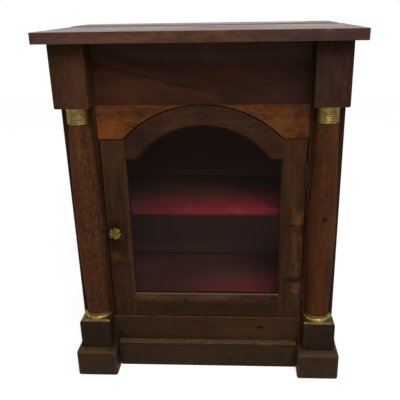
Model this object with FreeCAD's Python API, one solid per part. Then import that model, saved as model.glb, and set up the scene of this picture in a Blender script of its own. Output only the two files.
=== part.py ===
import FreeCAD, Part
import math
import os

from FreeCAD import Vector

# A small display cabinet with one glazed, arched door between two half-columns.
# Millimetres. X runs to the right as seen from the front, Y to the back and Z up.
# The origin lies on the floor, in the middle of the width and of the depth.

# Carcass
TOTAL_HEIGHT = 900.0
CARCASS_WIDTH = 666.0
CARCASS_DEPTH = 360.0
SIDE_THICKNESS = 18.0
STILE_WIDTH = 81.0
OVERRUN = 5.0
SAME_PLACE = 0.001

# Top
TOP_THICKNESS = 26.0
TOP_SIDE_OVERHANG = 23.0
TOP_FRONT_OVERHANG = 38.0
TOP_BACK_OVERHANG = 2.0
TOP_EDGE_ROUND = 1.5
BACK_STRIP_DEPTH = 160.0
BACK_STRIP_INSET = 10.0
BACK_STRIP_RISE = 1.2
TOP_CLEAT_SIZE = 20.0
BACK_TOP_RAIL_HEIGHT = 30.0

# Half-columns and the blocks above and below them
BLOCK_WIDTH = 80.0
BLOCK_OUTER_OVERHANG = 2.0
BLOCK_ROUND = 4.0
BLOCK_DEPTH = 40.0
BLOCK_HEIGHT = 147.0
CAPITAL_HEIGHT = 41.0
CAPITAL_RADIUS = 27.0
CAPITAL_RIB_COUNT = 5
CAPITAL_RIB_SWELL = 1.2
CAPITAL_FLARE_HEIGHT = 11.0
CAPITAL_FLARE_RADIUS = 31.0
CAPITAL_ABACUS_HEIGHT = 2.5
capital_hollow_share = 0.33
COLUMN_TOP_RADIUS = 26.0
COLUMN_BELLY_RADIUS = 34.0
COLUMN_FOOT_RADIUS = 28.0
BASE_RING_HEIGHT = 12.0
BASE_RING_RADIUS = 37.5
BASE_COLLAR_RADIUS = 32.0
BASE_COLLAR_HEIGHT = 2.5
BASE_HOLLOW_HEIGHT = 2.0
BASE_PLATE_THICKNESS = 8.0
PEDESTAL_ROUND = 2.0
PEDESTAL_HEIGHT = 79.0
FOOT_HEIGHT = 76.0
FOOT_FRONT_OVERHANG = 20.0
FOOT_OUTER_OVERHANG = 14.0
FOOT_INNER_OVERHANG = 15.0
FOOT_ROUND = 6.5
column_belly_share = 0.53
quarter_round_share = 0.72

# Front boards
RAIL_SETBACK = 2.0
RAIL_TOP_HEIGHT = 147.0
RAIL_HEIGHT = 127.0
FRIEZE_THICKNESS = 22.0
PLINTH_PROJECTION = 14.5
PLINTH_HEIGHT = 73.0
PLINTH_FLOOR_GAP = 1.0
PLINTH_EDGE_ROUND = 1.5

# Inside
FLOOR_THICKNESS = 18.0
FLOOR_RISE = 7.0
FLOOR_CLEAT_SIZE = 20.0
SHELF_RISE = 276.0
SHELF_THICKNESS = 20.0
SHELF_SETBACK = 54.0
SHELF_SIDE_GAP = 0.5
SHELF_CLEAT_SIZE = 18.0
CLOTH_THICKNESS = 1.5
FLOOR_CLOTH_MARGIN = 2.0

# Back
PLANK_COUNT = 4
PLANK_THICKNESS = 10.0
PLANK_LAP = 8.0
PLANK_FLOOR_GAP = 60.0
BACK_REBATE_WIDTH = 10.0
NAIL_SHANK_RADIUS = 1.2
NAIL_LENGTH = 26.0
NAIL_HEAD_RADIUS = 3.0
NAIL_HEAD_THICKNESS = 1.0
nail_place_shares = (0.2, 0.8)

# Door
DOOR_GAP = 2.0
ARCH_GAP = 2.8
DOOR_SETBACK = 3.0
DOOR_STOP_GAP = 0.5
DOOR_THICKNESS = 22.0
DOOR_STILE_WIDTH = 59.0
DOOR_BOTTOM_RAIL_HEIGHT = 62.5
ARCH_RISE = 82.5
ARCH_RAIL_WIDTH = 55.5
INNER_ARCH_RISE = 84.5
INNER_SHOULDER_WIDTH = 30.0
GLASS_BEVEL_WIDTH = 8.0
GLASS_BEVEL_DEPTH = 8.0
RAIL_BEVEL_HEIGHT = 18.0
RAIL_BEVEL_DEPTH = 9.0
REBATE_WIDTH = 7.0
REBATE_DEPTH = 10.0
GLASS_THICKNESS = 3.0
GLASS_CLEARANCE = 0.5
BEAD_DEPTH = 6.5
BEAD_CLEARANCE = 0.3
TENON_LENGTH = 40.0
TENON_THICKNESS = 8.0
TENON_SHOULDER = 8.0
apex_gap_share = 0.75

# Butt hinges on the right side of the door
HINGE_LENGTH = 63.0
HINGE_LEAF_WIDTH = 20.0
HINGE_LEAF_THICKNESS = 1.4
HINGE_LEAF_SPACE = 1.2
HINGE_BARREL_RADIUS = 3.5
HINGE_BARREL_CLEARANCE = 0.3
HINGE_PIN_RADIUS = 1.5
HINGE_PIN_CLEARANCE = 0.05
HINGE_PROUD = 2.2
KNUCKLE_COUNT = 5
KNUCKLE_GAP = 0.3
UPPER_HINGE_DROP = 89.0
LOWER_HINGE_RISE = 89.0
SCREW_HEAD_RADIUS = 2.8
SCREW_SHANK_RADIUS = 1.4
SCREW_LENGTH = 14.0
SCREW_CLEARANCE = 0.05
screw_height_shares = (0.2, 0.8)
screw_depth_share = 0.6

# Turning knob and its latch on the left side of the door
KNOB_EDGE_DISTANCE = 24.0
KNOB_RISE = 253.5
KNOB_RADIUS = 17.0
KNOB_PETAL_COUNT = 8
KNOB_PETAL_RADIUS = 5.1
KNOB_HEART_RADIUS = 6.5
KNOB_DISC_THICKNESS = 6.0
KNOB_NECK_RADIUS = 6.0
KNOB_NECK_LENGTH = 14.0
KNOB_CLEARANCE = 0.3
ROSE_RADIUS = 9.0
ROSE_THICKNESS = 1.5
SPINDLE_RADIUS = 3.5
SPINDLE_CLEARANCE = 0.05
SPINDLE_SOCKET_DEPTH = 10.0
TONGUE_LENGTH = 37.0
TONGUE_WIDTH = 10.0
TONGUE_THICKNESS = 3.0
TONGUE_CLEARANCE = 0.5
NUT_RADIUS = 6.5
NUT_THICKNESS = 4.0
NUT_SIDES = 6
KEEPER_WIDTH = 18.0
KEEPER_HEIGHT = 36.0
KEEPER_THICKNESS = 1.4
keeper_screw_shares = (0.2, 0.8)

# Widths, measured from the middle plane
carcass_half = CARCASS_WIDTH / 2
side_inner = carcass_half - SIDE_THICKNESS
opening_half = carcass_half - STILE_WIDTH
door_half = opening_half - DOOR_GAP
glass_half = door_half - DOOR_STILE_WIDTH
top_half = carcass_half + TOP_SIDE_OVERHANG
block_outer = carcass_half + BLOCK_OUTER_OVERHANG
block_inner = block_outer - BLOCK_WIDTH
foot_inner = block_inner - FOOT_INNER_OVERHANG
foot_outer = carcass_half + FOOT_OUTER_OVERHANG
column_x = (opening_half + carcass_half) / 2

# Depths, from front to back
top_depth = TOP_FRONT_OVERHANG + BLOCK_DEPTH + CARCASS_DEPTH + TOP_BACK_OVERHANG
top_front = -top_depth / 2
top_back = top_depth / 2
block_front = top_front + TOP_FRONT_OVERHANG
stile_front = block_front + BLOCK_DEPTH
rail_front = stile_front + RAIL_SETBACK
door_front = rail_front + DOOR_SETBACK
door_back = door_front + DOOR_THICKNESS
glass_front = door_back - REBATE_DEPTH
glass_back = glass_front + GLASS_THICKNESS
stile_back = door_back + DOOR_STOP_GAP
frieze_back = rail_front + FRIEZE_THICKNESS
carcass_back = stile_front + CARCASS_DEPTH
plank_front = carcass_back - PLANK_THICKNESS
shelf_front = stile_back + SHELF_SETBACK
top_joint = top_back - BACK_STRIP_DEPTH

# Heights, from the floor up
board_top = TOTAL_HEIGHT - BACK_STRIP_RISE
under_top = TOTAL_HEIGHT - TOP_THICKNESS
entablature = under_top - BLOCK_HEIGHT
capital_bottom = entablature - CAPITAL_HEIGHT
pedestal_top = FOOT_HEIGHT + PEDESTAL_HEIGHT
plate_top = pedestal_top + BASE_PLATE_THICKNESS
column_bottom = plate_top + BASE_RING_HEIGHT
plinth_top = PLINTH_FLOOR_GAP + PLINTH_HEIGHT
floor_top = RAIL_TOP_HEIGHT + FLOOR_RISE
floor_bottom = floor_top - FLOOR_THICKNESS
shelf_top = floor_top + SHELF_RISE
shelf_bottom = shelf_top - SHELF_THICKNESS
door_bottom = RAIL_TOP_HEIGHT + DOOR_GAP
glass_bottom = door_bottom + DOOR_BOTTOM_RAIL_HEIGHT

# The two arches of the door
door_apex = entablature - DOOR_GAP * apex_gap_share
door_shoulder = door_apex - ARCH_RISE
arch_radius = (glass_half**2 + ARCH_RISE**2) / (2 * ARCH_RISE)
arch_centre = door_apex - arch_radius
inner_half = glass_half - INNER_SHOULDER_WIDTH
inner_apex = door_apex - ARCH_RAIL_WIDTH
inner_shoulder = inner_apex - INNER_ARCH_RISE
inner_radius = (inner_half**2 + INNER_ARCH_RISE**2) / (2 * INNER_ARCH_RISE)
inner_centre = inner_apex - inner_radius

# Hinge and knob axes
hinge_x = door_half + DOOR_GAP / 2
hinge_y = door_front - HINGE_PROUD
hinge_heights = (door_bottom + LOWER_HINGE_RISE, door_shoulder - UPPER_HINGE_DROP)
knob_x = KNOB_EDGE_DISTANCE - door_half
knob_z = door_bottom + KNOB_RISE

MIDDLE = Vector(0, 0, 0)
TO_RIGHT = Vector(1, 0, 0)
TO_BACK = Vector(0, 1, 0)
UP = Vector(0, 0, 1)


def slab(x_limits, y_limits, z_limits):
    """A rectangular solid between the given limits."""
    corner = Vector(x_limits[0], y_limits[0], z_limits[0])
    size = Vector(x_limits[1], y_limits[1], z_limits[1]) - corner
    return Part.makeBox(size.x, size.y, size.z, corner)


def mirrored(shape):
    """The same piece on the other side of the middle plane."""
    return shape.mirror(MIDDLE, TO_RIGHT)


def pair(name, right_piece):
    """A right piece and its mirrored left one, under their two names."""
    return {f"right_{name}": right_piece, f"left_{name}": mirrored(right_piece)}


def both_sides(right_piece):
    """A right piece and its mirrored left one, as one group of separate solids."""
    return Part.makeCompound([right_piece, mirrored(right_piece)])


def line(start, end):
    """A straight edge between two points given as X and Z."""
    return Part.makeLine(Vector(start[0], 0, start[1]), Vector(end[0], 0, end[1]))


def arc(start, middle, end):
    """A round edge through three points given as X and Z."""
    points = [Vector(point[0], 0, point[1]) for point in (start, middle, end)]
    return Part.Arc(*points).toShape()


def board(edges, front, back):
    """A flat board with a drawn outline, between two depths."""
    face = Part.Face(Part.Wire(edges))
    face.translate(Vector(0, front, 0))
    return face.extrude(Vector(0, back - front, 0))


def same(value, place):
    """Whether a coordinate lies at a place."""
    return abs(value - place) < SAME_PLACE


def softened(shape, radius, keep):
    """A piece with rounded edges: keep says, from the middle of an edge, whether it is one of them."""
    return shape.makeFillet(radius, [edge for edge in shape.Edges if keep(edge.CenterOfMass)])


def rod(radius, start, direction, length):
    """A round rod from a start point."""
    return Part.makeCylinder(radius, length, start, direction)


def half_turned(edges, bottom):
    """A half-round solid, turned from a profile of radius and height, with its flat on the stile."""
    turned = Part.Face(Part.Wire(edges)).revolve(MIDDLE, UP)
    turned.translate(Vector(column_x, stile_front, bottom))
    reach = BLOCK_WIDTH + BASE_RING_RADIUS
    reach_x = (column_x - reach, column_x + reach)
    front_half = slab(reach_x, (stile_front - reach, stile_front), (0, TOTAL_HEIGHT))
    return Part.Solid(turned).common(front_half)


def wood_screw(start, direction, head_depth, grow):
    """A countersunk screw whose head is as deep as the plate that it holds."""
    head = Part.makeCone(SCREW_HEAD_RADIUS + grow, SCREW_SHANK_RADIUS + grow, head_depth, start, direction)
    shank_start = start + direction * head_depth
    shank = rod(SCREW_SHANK_RADIUS + grow, shank_start, direction, SCREW_LENGTH + grow)
    return head.fuse(shank).removeSplitter()


def nail(start, grow):
    """A flat-headed nail driven forwards from the back."""
    head = rod(NAIL_HEAD_RADIUS + grow, start, -TO_BACK, NAIL_HEAD_THICKNESS)
    shank = rod(NAIL_SHANK_RADIUS + grow, start, -TO_BACK, NAIL_LENGTH + grow)
    return head.fuse(shank).removeSplitter()


def glass_outline(grow):
    """The outline of the glazed opening, moved outwards all round."""
    half = glass_half + grow
    bottom = glass_bottom - grow
    shoulder = inner_shoulder + grow
    radius = inner_radius + grow
    arch_half = math.sqrt(radius**2 - (shoulder - inner_centre) ** 2)
    return [
        line((-half, bottom), (half, bottom)),
        line((half, bottom), (half, shoulder)),
        line((half, shoulder), (arch_half, shoulder)),
        arc((arch_half, shoulder), (0, inner_centre + radius), (-arch_half, shoulder)),
        line((-arch_half, shoulder), (-half, shoulder)),
        line((-half, shoulder), (-half, bottom)),
    ]


def top_pieces():
    """The top board, the slightly higher and shorter strip behind it and what fastens them."""
    front_board = slab((-top_half, top_half), (top_front, top_joint), (under_top, board_top))
    front_board = softened(front_board, TOP_EDGE_ROUND, lambda p: p.y < top_joint - SAME_PLACE)
    strip_x = (-top_half, top_half - BACK_STRIP_INSET)
    strip = slab(strip_x, (top_joint, top_back), (under_top, TOTAL_HEIGHT))
    rail_bottom = under_top - BACK_TOP_RAIL_HEIGHT
    rail_y = plank_front - TOP_CLEAT_SIZE
    back_rail = slab((-side_inner, side_inner), (rail_y, plank_front), (rail_bottom, under_top))
    cleat_x = (side_inner - TOP_CLEAT_SIZE, side_inner)
    cleat = slab(cleat_x, (stile_back, rail_y), (under_top - TOP_CLEAT_SIZE, under_top))
    return {
        "top_board": front_board,
        "top_back_strip": strip,
        "back_top_rail": back_rail.cut(nail_group(SCREW_CLEARANCE)),
        "top_cleats": both_sides(cleat),
    }


def side_pieces():
    """The two side boards, rebated for the back, with their plinth boards."""
    side = slab((side_inner, carcass_half), (stile_back, carcass_back), (0, under_top))
    rebate_x = (side_inner - OVERRUN, side_inner + BACK_REBATE_WIDTH)
    rebate = slab(rebate_x, (plank_front, carcass_back + OVERRUN), (-OVERRUN, under_top + OVERRUN))
    plinth = slab((carcass_half, foot_outer), (stile_front, carcass_back), (PLINTH_FLOOR_GAP, plinth_top))
    plinth = softened(plinth, PLINTH_EDGE_ROUND, lambda p: same(p.x, foot_outer) and same(p.z, plinth_top))
    return {**pair("side_board", side.cut(rebate)), **pair("side_plinth", plinth)}


def front_stiles():
    """The boards behind the columns: the right one has the hinge seats, the left one the keeper."""
    stile = slab((opening_half, carcass_half), (stile_front, stile_back), (0, under_top))
    right_stile = stile.cut(hinge_seats(1))
    left_stile = mirrored(stile).cut([keeper_blank()] + keeper_screws(SCREW_CLEARANCE))
    return {"right_front_stile": right_stile, "left_front_stile": left_stile}


def front_boards():
    """Frieze, spandrels, lower rail and plinth between the stiles."""
    frieze = slab((-opening_half, opening_half), (rail_front, frieze_back), (entablature, under_top))
    rail_z = (RAIL_TOP_HEIGHT - RAIL_HEIGHT, RAIL_TOP_HEIGHT)
    rail = slab((-opening_half, opening_half), (rail_front, stile_back), rail_z)
    plinth_y = (stile_front - PLINTH_PROJECTION, rail_front)
    plinth = slab((-foot_inner, foot_inner), plinth_y, (PLINTH_FLOOR_GAP, plinth_top))
    plinth = softened(plinth, PLINTH_EDGE_ROUND, lambda p: same(p.y, plinth_y[0]) and same(p.z, plinth_top))
    return {
        "frieze_board": frieze,
        "lower_rail": rail,
        "plinth_board": plinth,
        **pair("spandrel", spandrel()),
    }


def spandrel():
    """The corner board between the frieze, the right stile and the arch of the door."""
    radius = arch_radius + ARCH_GAP
    bottom = door_shoulder + DOOR_GAP
    low_angle = math.asin((bottom - arch_centre) / radius)
    high_angle = math.asin((entablature - arch_centre) / radius)
    angles = (low_angle, (low_angle + high_angle) / 2, high_angle)
    low, middle, high = [(radius * math.cos(a), arch_centre + radius * math.sin(a)) for a in angles]
    edges = [
        line(low, (opening_half, bottom)),
        line((opening_half, bottom), (opening_half, entablature)),
        line((opening_half, entablature), high),
        arc(high, middle, low),
    ]
    return board(edges, rail_front, frieze_back)


def column_stack():
    """Block, capital, half-column, ring, plate, pedestal and foot, on the right and on the left."""
    stack_x = (block_inner, block_outer)
    stack_y = (block_front, stile_front)
    block = slab(stack_x, stack_y, (entablature, under_top))
    block = softened(block, BLOCK_ROUND, lambda p: same(p.x, block_outer) and same(p.z, entablature))
    plate_x = (column_x - BASE_RING_RADIUS, column_x + BASE_RING_RADIUS)
    plate = slab(plate_x, (stile_front - BASE_RING_RADIUS, stile_front), (pedestal_top, plate_top))
    pedestal = slab(stack_x, stack_y, (FOOT_HEIGHT, pedestal_top))
    pedestal = softened(
        pedestal, PEDESTAL_ROUND, lambda p: p.y < stile_front - SAME_PLACE and same(p.z, pedestal_top)
    )
    foot_y = (block_front - FOOT_FRONT_OVERHANG, stile_front)
    foot = slab((foot_inner, foot_outer), foot_y, (0, FOOT_HEIGHT))
    foot = softened(foot, FOOT_ROUND, lambda p: p.y < stile_front - SAME_PLACE)
    return {
        **pair("frieze_block", block),
        **pair("capital", capital()),
        **pair("column", column()),
        **pair("base_ring", base_ring()),
        **pair("base_plate", plate),
        **pair("pedestal", pedestal),
        **pair("front_foot", foot),
    }


def column():
    """A half-column that swells below its middle."""
    height = capital_bottom - column_bottom
    belly_height = height * column_belly_share
    edges = [
        line((0, 0), (COLUMN_FOOT_RADIUS, 0)),
        arc((COLUMN_FOOT_RADIUS, 0), (COLUMN_BELLY_RADIUS, belly_height), (COLUMN_TOP_RADIUS, height)),
        line((COLUMN_TOP_RADIUS, height), (0, height)),
        line((0, height), (0, 0)),
    ]
    return half_turned(edges, column_bottom)


def capital():
    """A ribbed brass cap that flares out under a thin round slab."""
    flare_top = CAPITAL_HEIGHT - CAPITAL_ABACUS_HEIGHT
    flare_bottom = flare_top - CAPITAL_FLARE_HEIGHT
    rib_height = flare_bottom / CAPITAL_RIB_COUNT
    edges = [line((0, 0), (CAPITAL_RADIUS, 0))]
    for rib in range(CAPITAL_RIB_COUNT):
        low = (CAPITAL_RADIUS, rib * rib_height)
        high = (CAPITAL_RADIUS, (rib + 1) * rib_height)
        bulge = (CAPITAL_RADIUS + CAPITAL_RIB_SWELL, (low[1] + high[1]) / 2)
        edges.append(arc(low, bulge, high))
    hollow_radius = CAPITAL_RADIUS + (CAPITAL_FLARE_RADIUS - CAPITAL_RADIUS) * capital_hollow_share
    hollow = (hollow_radius, (flare_bottom + flare_top) / 2)
    edges += [
        arc((CAPITAL_RADIUS, flare_bottom), hollow, (CAPITAL_FLARE_RADIUS, flare_top)),
        line((CAPITAL_FLARE_RADIUS, flare_top), (CAPITAL_FLARE_RADIUS, CAPITAL_HEIGHT)),
        line((CAPITAL_FLARE_RADIUS, CAPITAL_HEIGHT), (0, CAPITAL_HEIGHT)),
        line((0, CAPITAL_HEIGHT), (0, 0)),
    ]
    return half_turned(edges, capital_bottom)


def base_ring():
    """A brass quarter-round with a hollow and a collar above it that carries the column."""
    collar_bottom = BASE_RING_HEIGHT - BASE_COLLAR_HEIGHT
    round_height = collar_bottom - BASE_HOLLOW_HEIGHT
    neck = BASE_RING_RADIUS - round_height
    bulge = (neck + round_height * quarter_round_share, round_height * quarter_round_share)
    edges = [
        line((0, 0), (BASE_RING_RADIUS, 0)),
        arc((BASE_RING_RADIUS, 0), bulge, (neck, round_height)),
        line((neck, round_height), (neck, collar_bottom)),
        line((neck, collar_bottom), (BASE_COLLAR_RADIUS, collar_bottom)),
        line((BASE_COLLAR_RADIUS, collar_bottom), (BASE_COLLAR_RADIUS, BASE_RING_HEIGHT)),
        line((BASE_COLLAR_RADIUS, BASE_RING_HEIGHT), (0, BASE_RING_HEIGHT)),
        line((0, BASE_RING_HEIGHT), (0, 0)),
    ]
    return half_turned(edges, plate_top)


def inside_pieces():
    """The floor and the shelf on their cleats, each with its cloth."""
    floor_x = (-side_inner, side_inner)
    shelf_x = (SHELF_SIDE_GAP - side_inner, side_inner - SHELF_SIDE_GAP)
    floor_cleat_x = (side_inner - FLOOR_CLEAT_SIZE, side_inner)
    shelf_cleat_x = (side_inner - SHELF_CLEAT_SIZE, side_inner)
    cleat_y = (stile_back, plank_front)
    floor_cleat = slab(floor_cleat_x, cleat_y, (floor_bottom - FLOOR_CLEAT_SIZE, floor_bottom))
    shelf_cleat_y = (shelf_front + SHELF_CLEAT_SIZE, plank_front)
    shelf_cleat = slab(shelf_cleat_x, shelf_cleat_y, (shelf_bottom - SHELF_CLEAT_SIZE, shelf_bottom))
    cloth_front = shelf_front - CLOTH_THICKNESS
    shelf_cloth = slab(shelf_x, (cloth_front, plank_front), (shelf_bottom, shelf_top + CLOTH_THICKNESS))
    shelf_room = slab(floor_x, (shelf_front, plank_front + OVERRUN), (shelf_bottom - OVERRUN, shelf_top))
    floor_cloth_y = (stile_back + FLOOR_CLOTH_MARGIN, plank_front)
    floor_board = slab(floor_x, cleat_y, (floor_bottom, floor_top))
    return {
        "floor_board": floor_board.cut(nail_group(SCREW_CLEARANCE)),
        "floor_cleats": both_sides(floor_cleat),
        "floor_cloth": slab(floor_x, floor_cloth_y, (floor_top, floor_top + CLOTH_THICKNESS)),
        "shelf": slab(shelf_x, (shelf_front, plank_front), (shelf_bottom, shelf_top)),
        "shelf_cleats": both_sides(shelf_cleat),
        "shelf_cloth": shelf_cloth.cut(shelf_room),
    }


def plank_edges():
    """The X places where one back plank ends and the next starts."""
    half = side_inner + BACK_REBATE_WIDTH
    return [half * (2 * place / PLANK_COUNT - 1) for place in range(PLANK_COUNT + 1)]


def nail_group(grow):
    """The nails that hold the back planks to the floor board and to the rail under the top."""
    edges = plank_edges()
    rows = ((floor_bottom + floor_top) / 2, under_top - BACK_TOP_RAIL_HEIGHT / 2)
    nails = []
    for left, right in zip(edges, edges[1:]):
        for share in nail_place_shares:
            place = left + (right - left) * share
            nails += [nail(Vector(place, carcass_back, row), grow) for row in rows]
    return nails


def back_pieces():
    """Upright planks with lapped edges, nailed on from behind."""
    edges = plank_edges()
    lap_front = carcass_back - PLANK_THICKNESS / 2
    height = (PLANK_FLOOR_GAP, under_top)
    planks = {}
    for number, (left, right) in enumerate(zip(edges, edges[1:]), start=1):
        plank = slab((left, right), (plank_front, carcass_back), height)
        if number > 1:
            plank = plank.cut(slab((left, left + PLANK_LAP), (lap_front, carcass_back), height))
        if number < PLANK_COUNT:
            lap = slab((right, right + PLANK_LAP), (lap_front, carcass_back), height)
            plank = plank.fuse(lap).removeSplitter()
        planks[f"back_plank_{number}"] = plank.cut(nail_group(SCREW_CLEARANCE))
    planks["back_nails"] = Part.makeCompound(nail_group(0))
    return planks


def door_pieces():
    """Stiles, bottom rail and arched rail, joined by tenons, with the glass and its beads."""
    door_z = (door_bottom, door_shoulder)
    rebate = board(glass_outline(REBATE_WIDTH), glass_front, door_back + OVERRUN)
    bottom_tenon_z = (door_bottom + TENON_SHOULDER, glass_bottom - REBATE_WIDTH - TENON_SHOULDER)
    arch_tenon_z = (inner_shoulder + REBATE_WIDTH, door_shoulder - TENON_SHOULDER)
    tenon_middle = (door_front + door_back) / 2
    tenon_y = (tenon_middle - TENON_THICKNESS / 2, tenon_middle + TENON_THICKNESS / 2)
    tenon_x = (-glass_half - TENON_LENGTH, glass_half + TENON_LENGTH)
    bottom_tenon = slab(tenon_x, tenon_y, bottom_tenon_z)
    arch_tenon = slab(tenon_x, tenon_y, arch_tenon_z)
    stile = slab((glass_half, door_half), (door_front, door_back), door_z)
    stile = stile.cut([rebate, bottom_tenon, arch_tenon, stile_bevel()])
    right_stile = stile.cut(hinge_seats(-1))
    left_stile = mirrored(stile).cut(spindle(SPINDLE_CLEARANCE))
    return {
        "door_right_stile": right_stile,
        "door_left_stile": left_stile,
        "door_bottom_rail": bottom_rail().fuse(bottom_tenon).removeSplitter().cut(rebate),
        "door_arch_rail": arch_rail(arch_tenon_z, tenon_x, tenon_y).cut(rebate),
        "door_glass": board(glass_outline(REBATE_WIDTH - GLASS_CLEARANCE), glass_front, glass_back),
        **glazing_beads(),
    }


def bottom_rail():
    """The lower rail of the door, with a wide bevel below the glass."""
    rail = slab((-glass_half, glass_half), (door_front, door_back), (door_bottom, glass_bottom))
    bevel_foot = glass_bottom - RAIL_BEVEL_HEIGHT
    bevel_back = door_front + RAIL_BEVEL_DEPTH
    profile = [
        Vector(-glass_half, door_front, bevel_foot),
        Vector(-glass_half, bevel_back, glass_bottom),
        Vector(-glass_half, bevel_back, glass_bottom + OVERRUN),
        Vector(-glass_half, door_front - OVERRUN, glass_bottom + OVERRUN),
        Vector(-glass_half, door_front - OVERRUN, bevel_foot),
    ]
    bevel = Part.Face(Part.makePolygon(profile + profile[:1])).extrude(TO_RIGHT * (2 * glass_half))
    return rail.cut(bevel)


def arch_rail(tenon_z, tenon_x, tenon_y):
    """The arched top rail of the door, with shoulders, tenons and a bevelled inner edge."""
    edges = [
        line((glass_half, inner_shoulder), (glass_half, door_shoulder)),
        arc((glass_half, door_shoulder), (0, door_apex), (-glass_half, door_shoulder)),
        line((-glass_half, door_shoulder), (-glass_half, inner_shoulder)),
        line((-glass_half, inner_shoulder), (-inner_half, inner_shoulder)),
        arc((-inner_half, inner_shoulder), (0, inner_apex), (inner_half, inner_shoulder)),
        line((inner_half, inner_shoulder), (glass_half, inner_shoulder)),
    ]
    rail = board(edges, door_front, door_back)
    right_tenon = slab((glass_half, tenon_x[1]), tenon_y, tenon_z)
    tenons = [right_tenon, mirrored(right_tenon)]
    wide = Part.Wire(glass_outline(GLASS_BEVEL_WIDTH))
    wide.translate(TO_BACK * door_front)
    narrow = Part.Wire(glass_outline(0))
    narrow.translate(TO_BACK * (door_front + GLASS_BEVEL_DEPTH))
    bevel = Part.makeLoft([wide, narrow], True, True)
    return rail.fuse(tenons).removeSplitter().cut(bevel)


def stile_bevel():
    """What the bevel beside the glass takes off the front of the right stile, with slanted ends."""
    bevel_deep = door_front + GLASS_BEVEL_DEPTH
    bevel_edge = glass_half + GLASS_BEVEL_WIDTH
    low = glass_bottom - GLASS_BEVEL_WIDTH
    high = inner_shoulder + GLASS_BEVEL_WIDTH
    outer_low = Vector(bevel_edge, door_front, low)
    outer_high = Vector(bevel_edge, door_front, high)
    inner_low = Vector(glass_half, door_front, low)
    inner_high = Vector(glass_half, door_front, high)
    deep_low = Vector(glass_half, bevel_deep, glass_bottom)
    deep_high = Vector(glass_half, bevel_deep, inner_shoulder)
    outlines = (
        (outer_low, outer_high, deep_high, deep_low),
        (outer_low, outer_high, inner_high, inner_low),
        (inner_low, inner_high, deep_high, deep_low),
        (outer_high, deep_high, inner_high),
        (outer_low, deep_low, inner_low),
    )
    faces = [Part.Face(Part.makePolygon(list(outline) + [outline[0]])) for outline in outlines]
    return Part.makeSolid(Part.makeShell(faces))


def glazing_beads():
    """The wooden beads that hold the glass in its rebate from behind."""
    outer = REBATE_WIDTH - BEAD_CLEARANCE
    bead_y = (glass_back, glass_back + BEAD_DEPTH)
    upright = slab((glass_half, glass_half + outer), bead_y, (glass_bottom, inner_shoulder))
    sill_half = glass_half + outer
    sill = slab((-sill_half, sill_half), bead_y, (glass_bottom - outer, glass_bottom))
    ring = board(glass_outline(outer), *bead_y).cut(board(glass_outline(0), *bead_y))
    above = slab((-door_half, door_half), bead_y, (inner_shoulder, door_apex))
    straight_beads = Part.makeCompound([upright, mirrored(upright), sill])
    return {"straight_glazing_beads": straight_beads, "arched_glazing_bead": ring.common(above)}


def leaf_limits(side):
    """The X limits of a hinge leaf: side 1 is the leaf on the cabinet, side -1 the one on the door."""
    near = hinge_x + side * HINGE_LEAF_SPACE / 2
    far = near + side * HINGE_LEAF_THICKNESS
    return (min(near, far), max(near, far))


def leaf_height(height):
    """The Z limits of a hinge whose middle is at a height."""
    return (height - HINGE_LENGTH / 2, height + HINGE_LENGTH / 2)


def leaf_seat(height, side):
    """The shallow recess in the wood that a hinge leaf lies in."""
    return slab(leaf_limits(side), (hinge_y, hinge_y + HINGE_LEAF_WIDTH), leaf_height(height))


def barrel_room(height):
    """The hollow in the wood around a hinge barrel."""
    start = Vector(hinge_x, hinge_y, leaf_height(height)[0] - HINGE_BARREL_CLEARANCE)
    length = HINGE_LENGTH + 2 * HINGE_BARREL_CLEARANCE
    return rod(HINGE_BARREL_RADIUS + HINGE_BARREL_CLEARANCE, start, UP, length)


def hinge_seats(side):
    """All that both hinges take out of the wood on one side."""
    seats = hinge_screws(side, SCREW_CLEARANCE)
    for height in hinge_heights:
        seats += [leaf_seat(height, side), barrel_room(height)]
    return seats


def knuckle(height, number, radius, trim):
    """One stretch of a hinge barrel, shortened by trim at each end that meets another."""
    step = HINGE_LENGTH / KNUCKLE_COUNT
    low = leaf_height(height)[0] + number * step + (trim if number > 0 else 0)
    high = leaf_height(height)[0] + (number + 1) * step - (trim if number < KNUCKLE_COUNT - 1 else 0)
    return rod(radius, Vector(hinge_x, hinge_y, low), UP, high - low)


def hinge_leaf(height, side):
    """A leaf with its knuckles: the cabinet's leaf has the first and last ones."""
    first = 0 if side > 0 else 1
    own = range(first, KNUCKLE_COUNT, 2)
    others = range(1 - first, KNUCKLE_COUNT, 2)
    plate = slab(leaf_limits(side), (hinge_y, hinge_y + HINGE_LEAF_WIDTH), leaf_height(height))
    room_radius = HINGE_BARREL_RADIUS + HINGE_BARREL_CLEARANCE
    plate = plate.cut([knuckle(height, number, room_radius, -KNUCKLE_GAP / 2) for number in others])
    leaf = plate.fuse([knuckle(height, number, HINGE_BARREL_RADIUS, KNUCKLE_GAP / 2) for number in own])
    bore_start = Vector(hinge_x, hinge_y, leaf_height(height)[0] - OVERRUN)
    bore = rod(HINGE_PIN_RADIUS + HINGE_PIN_CLEARANCE, bore_start, UP, HINGE_LENGTH + 2 * OVERRUN)
    return leaf.cut([bore] + hinge_screws(side, SCREW_CLEARANCE)).removeSplitter()


def hinge_screws(side, grow):
    """The screws of both hinges that hold the leaf of one side."""
    screws = []
    start_x = hinge_x + side * HINGE_LEAF_SPACE / 2
    start_y = hinge_y + HINGE_LEAF_WIDTH * screw_depth_share
    for height in hinge_heights:
        for share in screw_height_shares:
            start = Vector(start_x, start_y, leaf_height(height)[0] + HINGE_LENGTH * share)
            screws.append(wood_screw(start, TO_RIGHT * side, HINGE_LEAF_THICKNESS, grow))
    return screws


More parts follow.
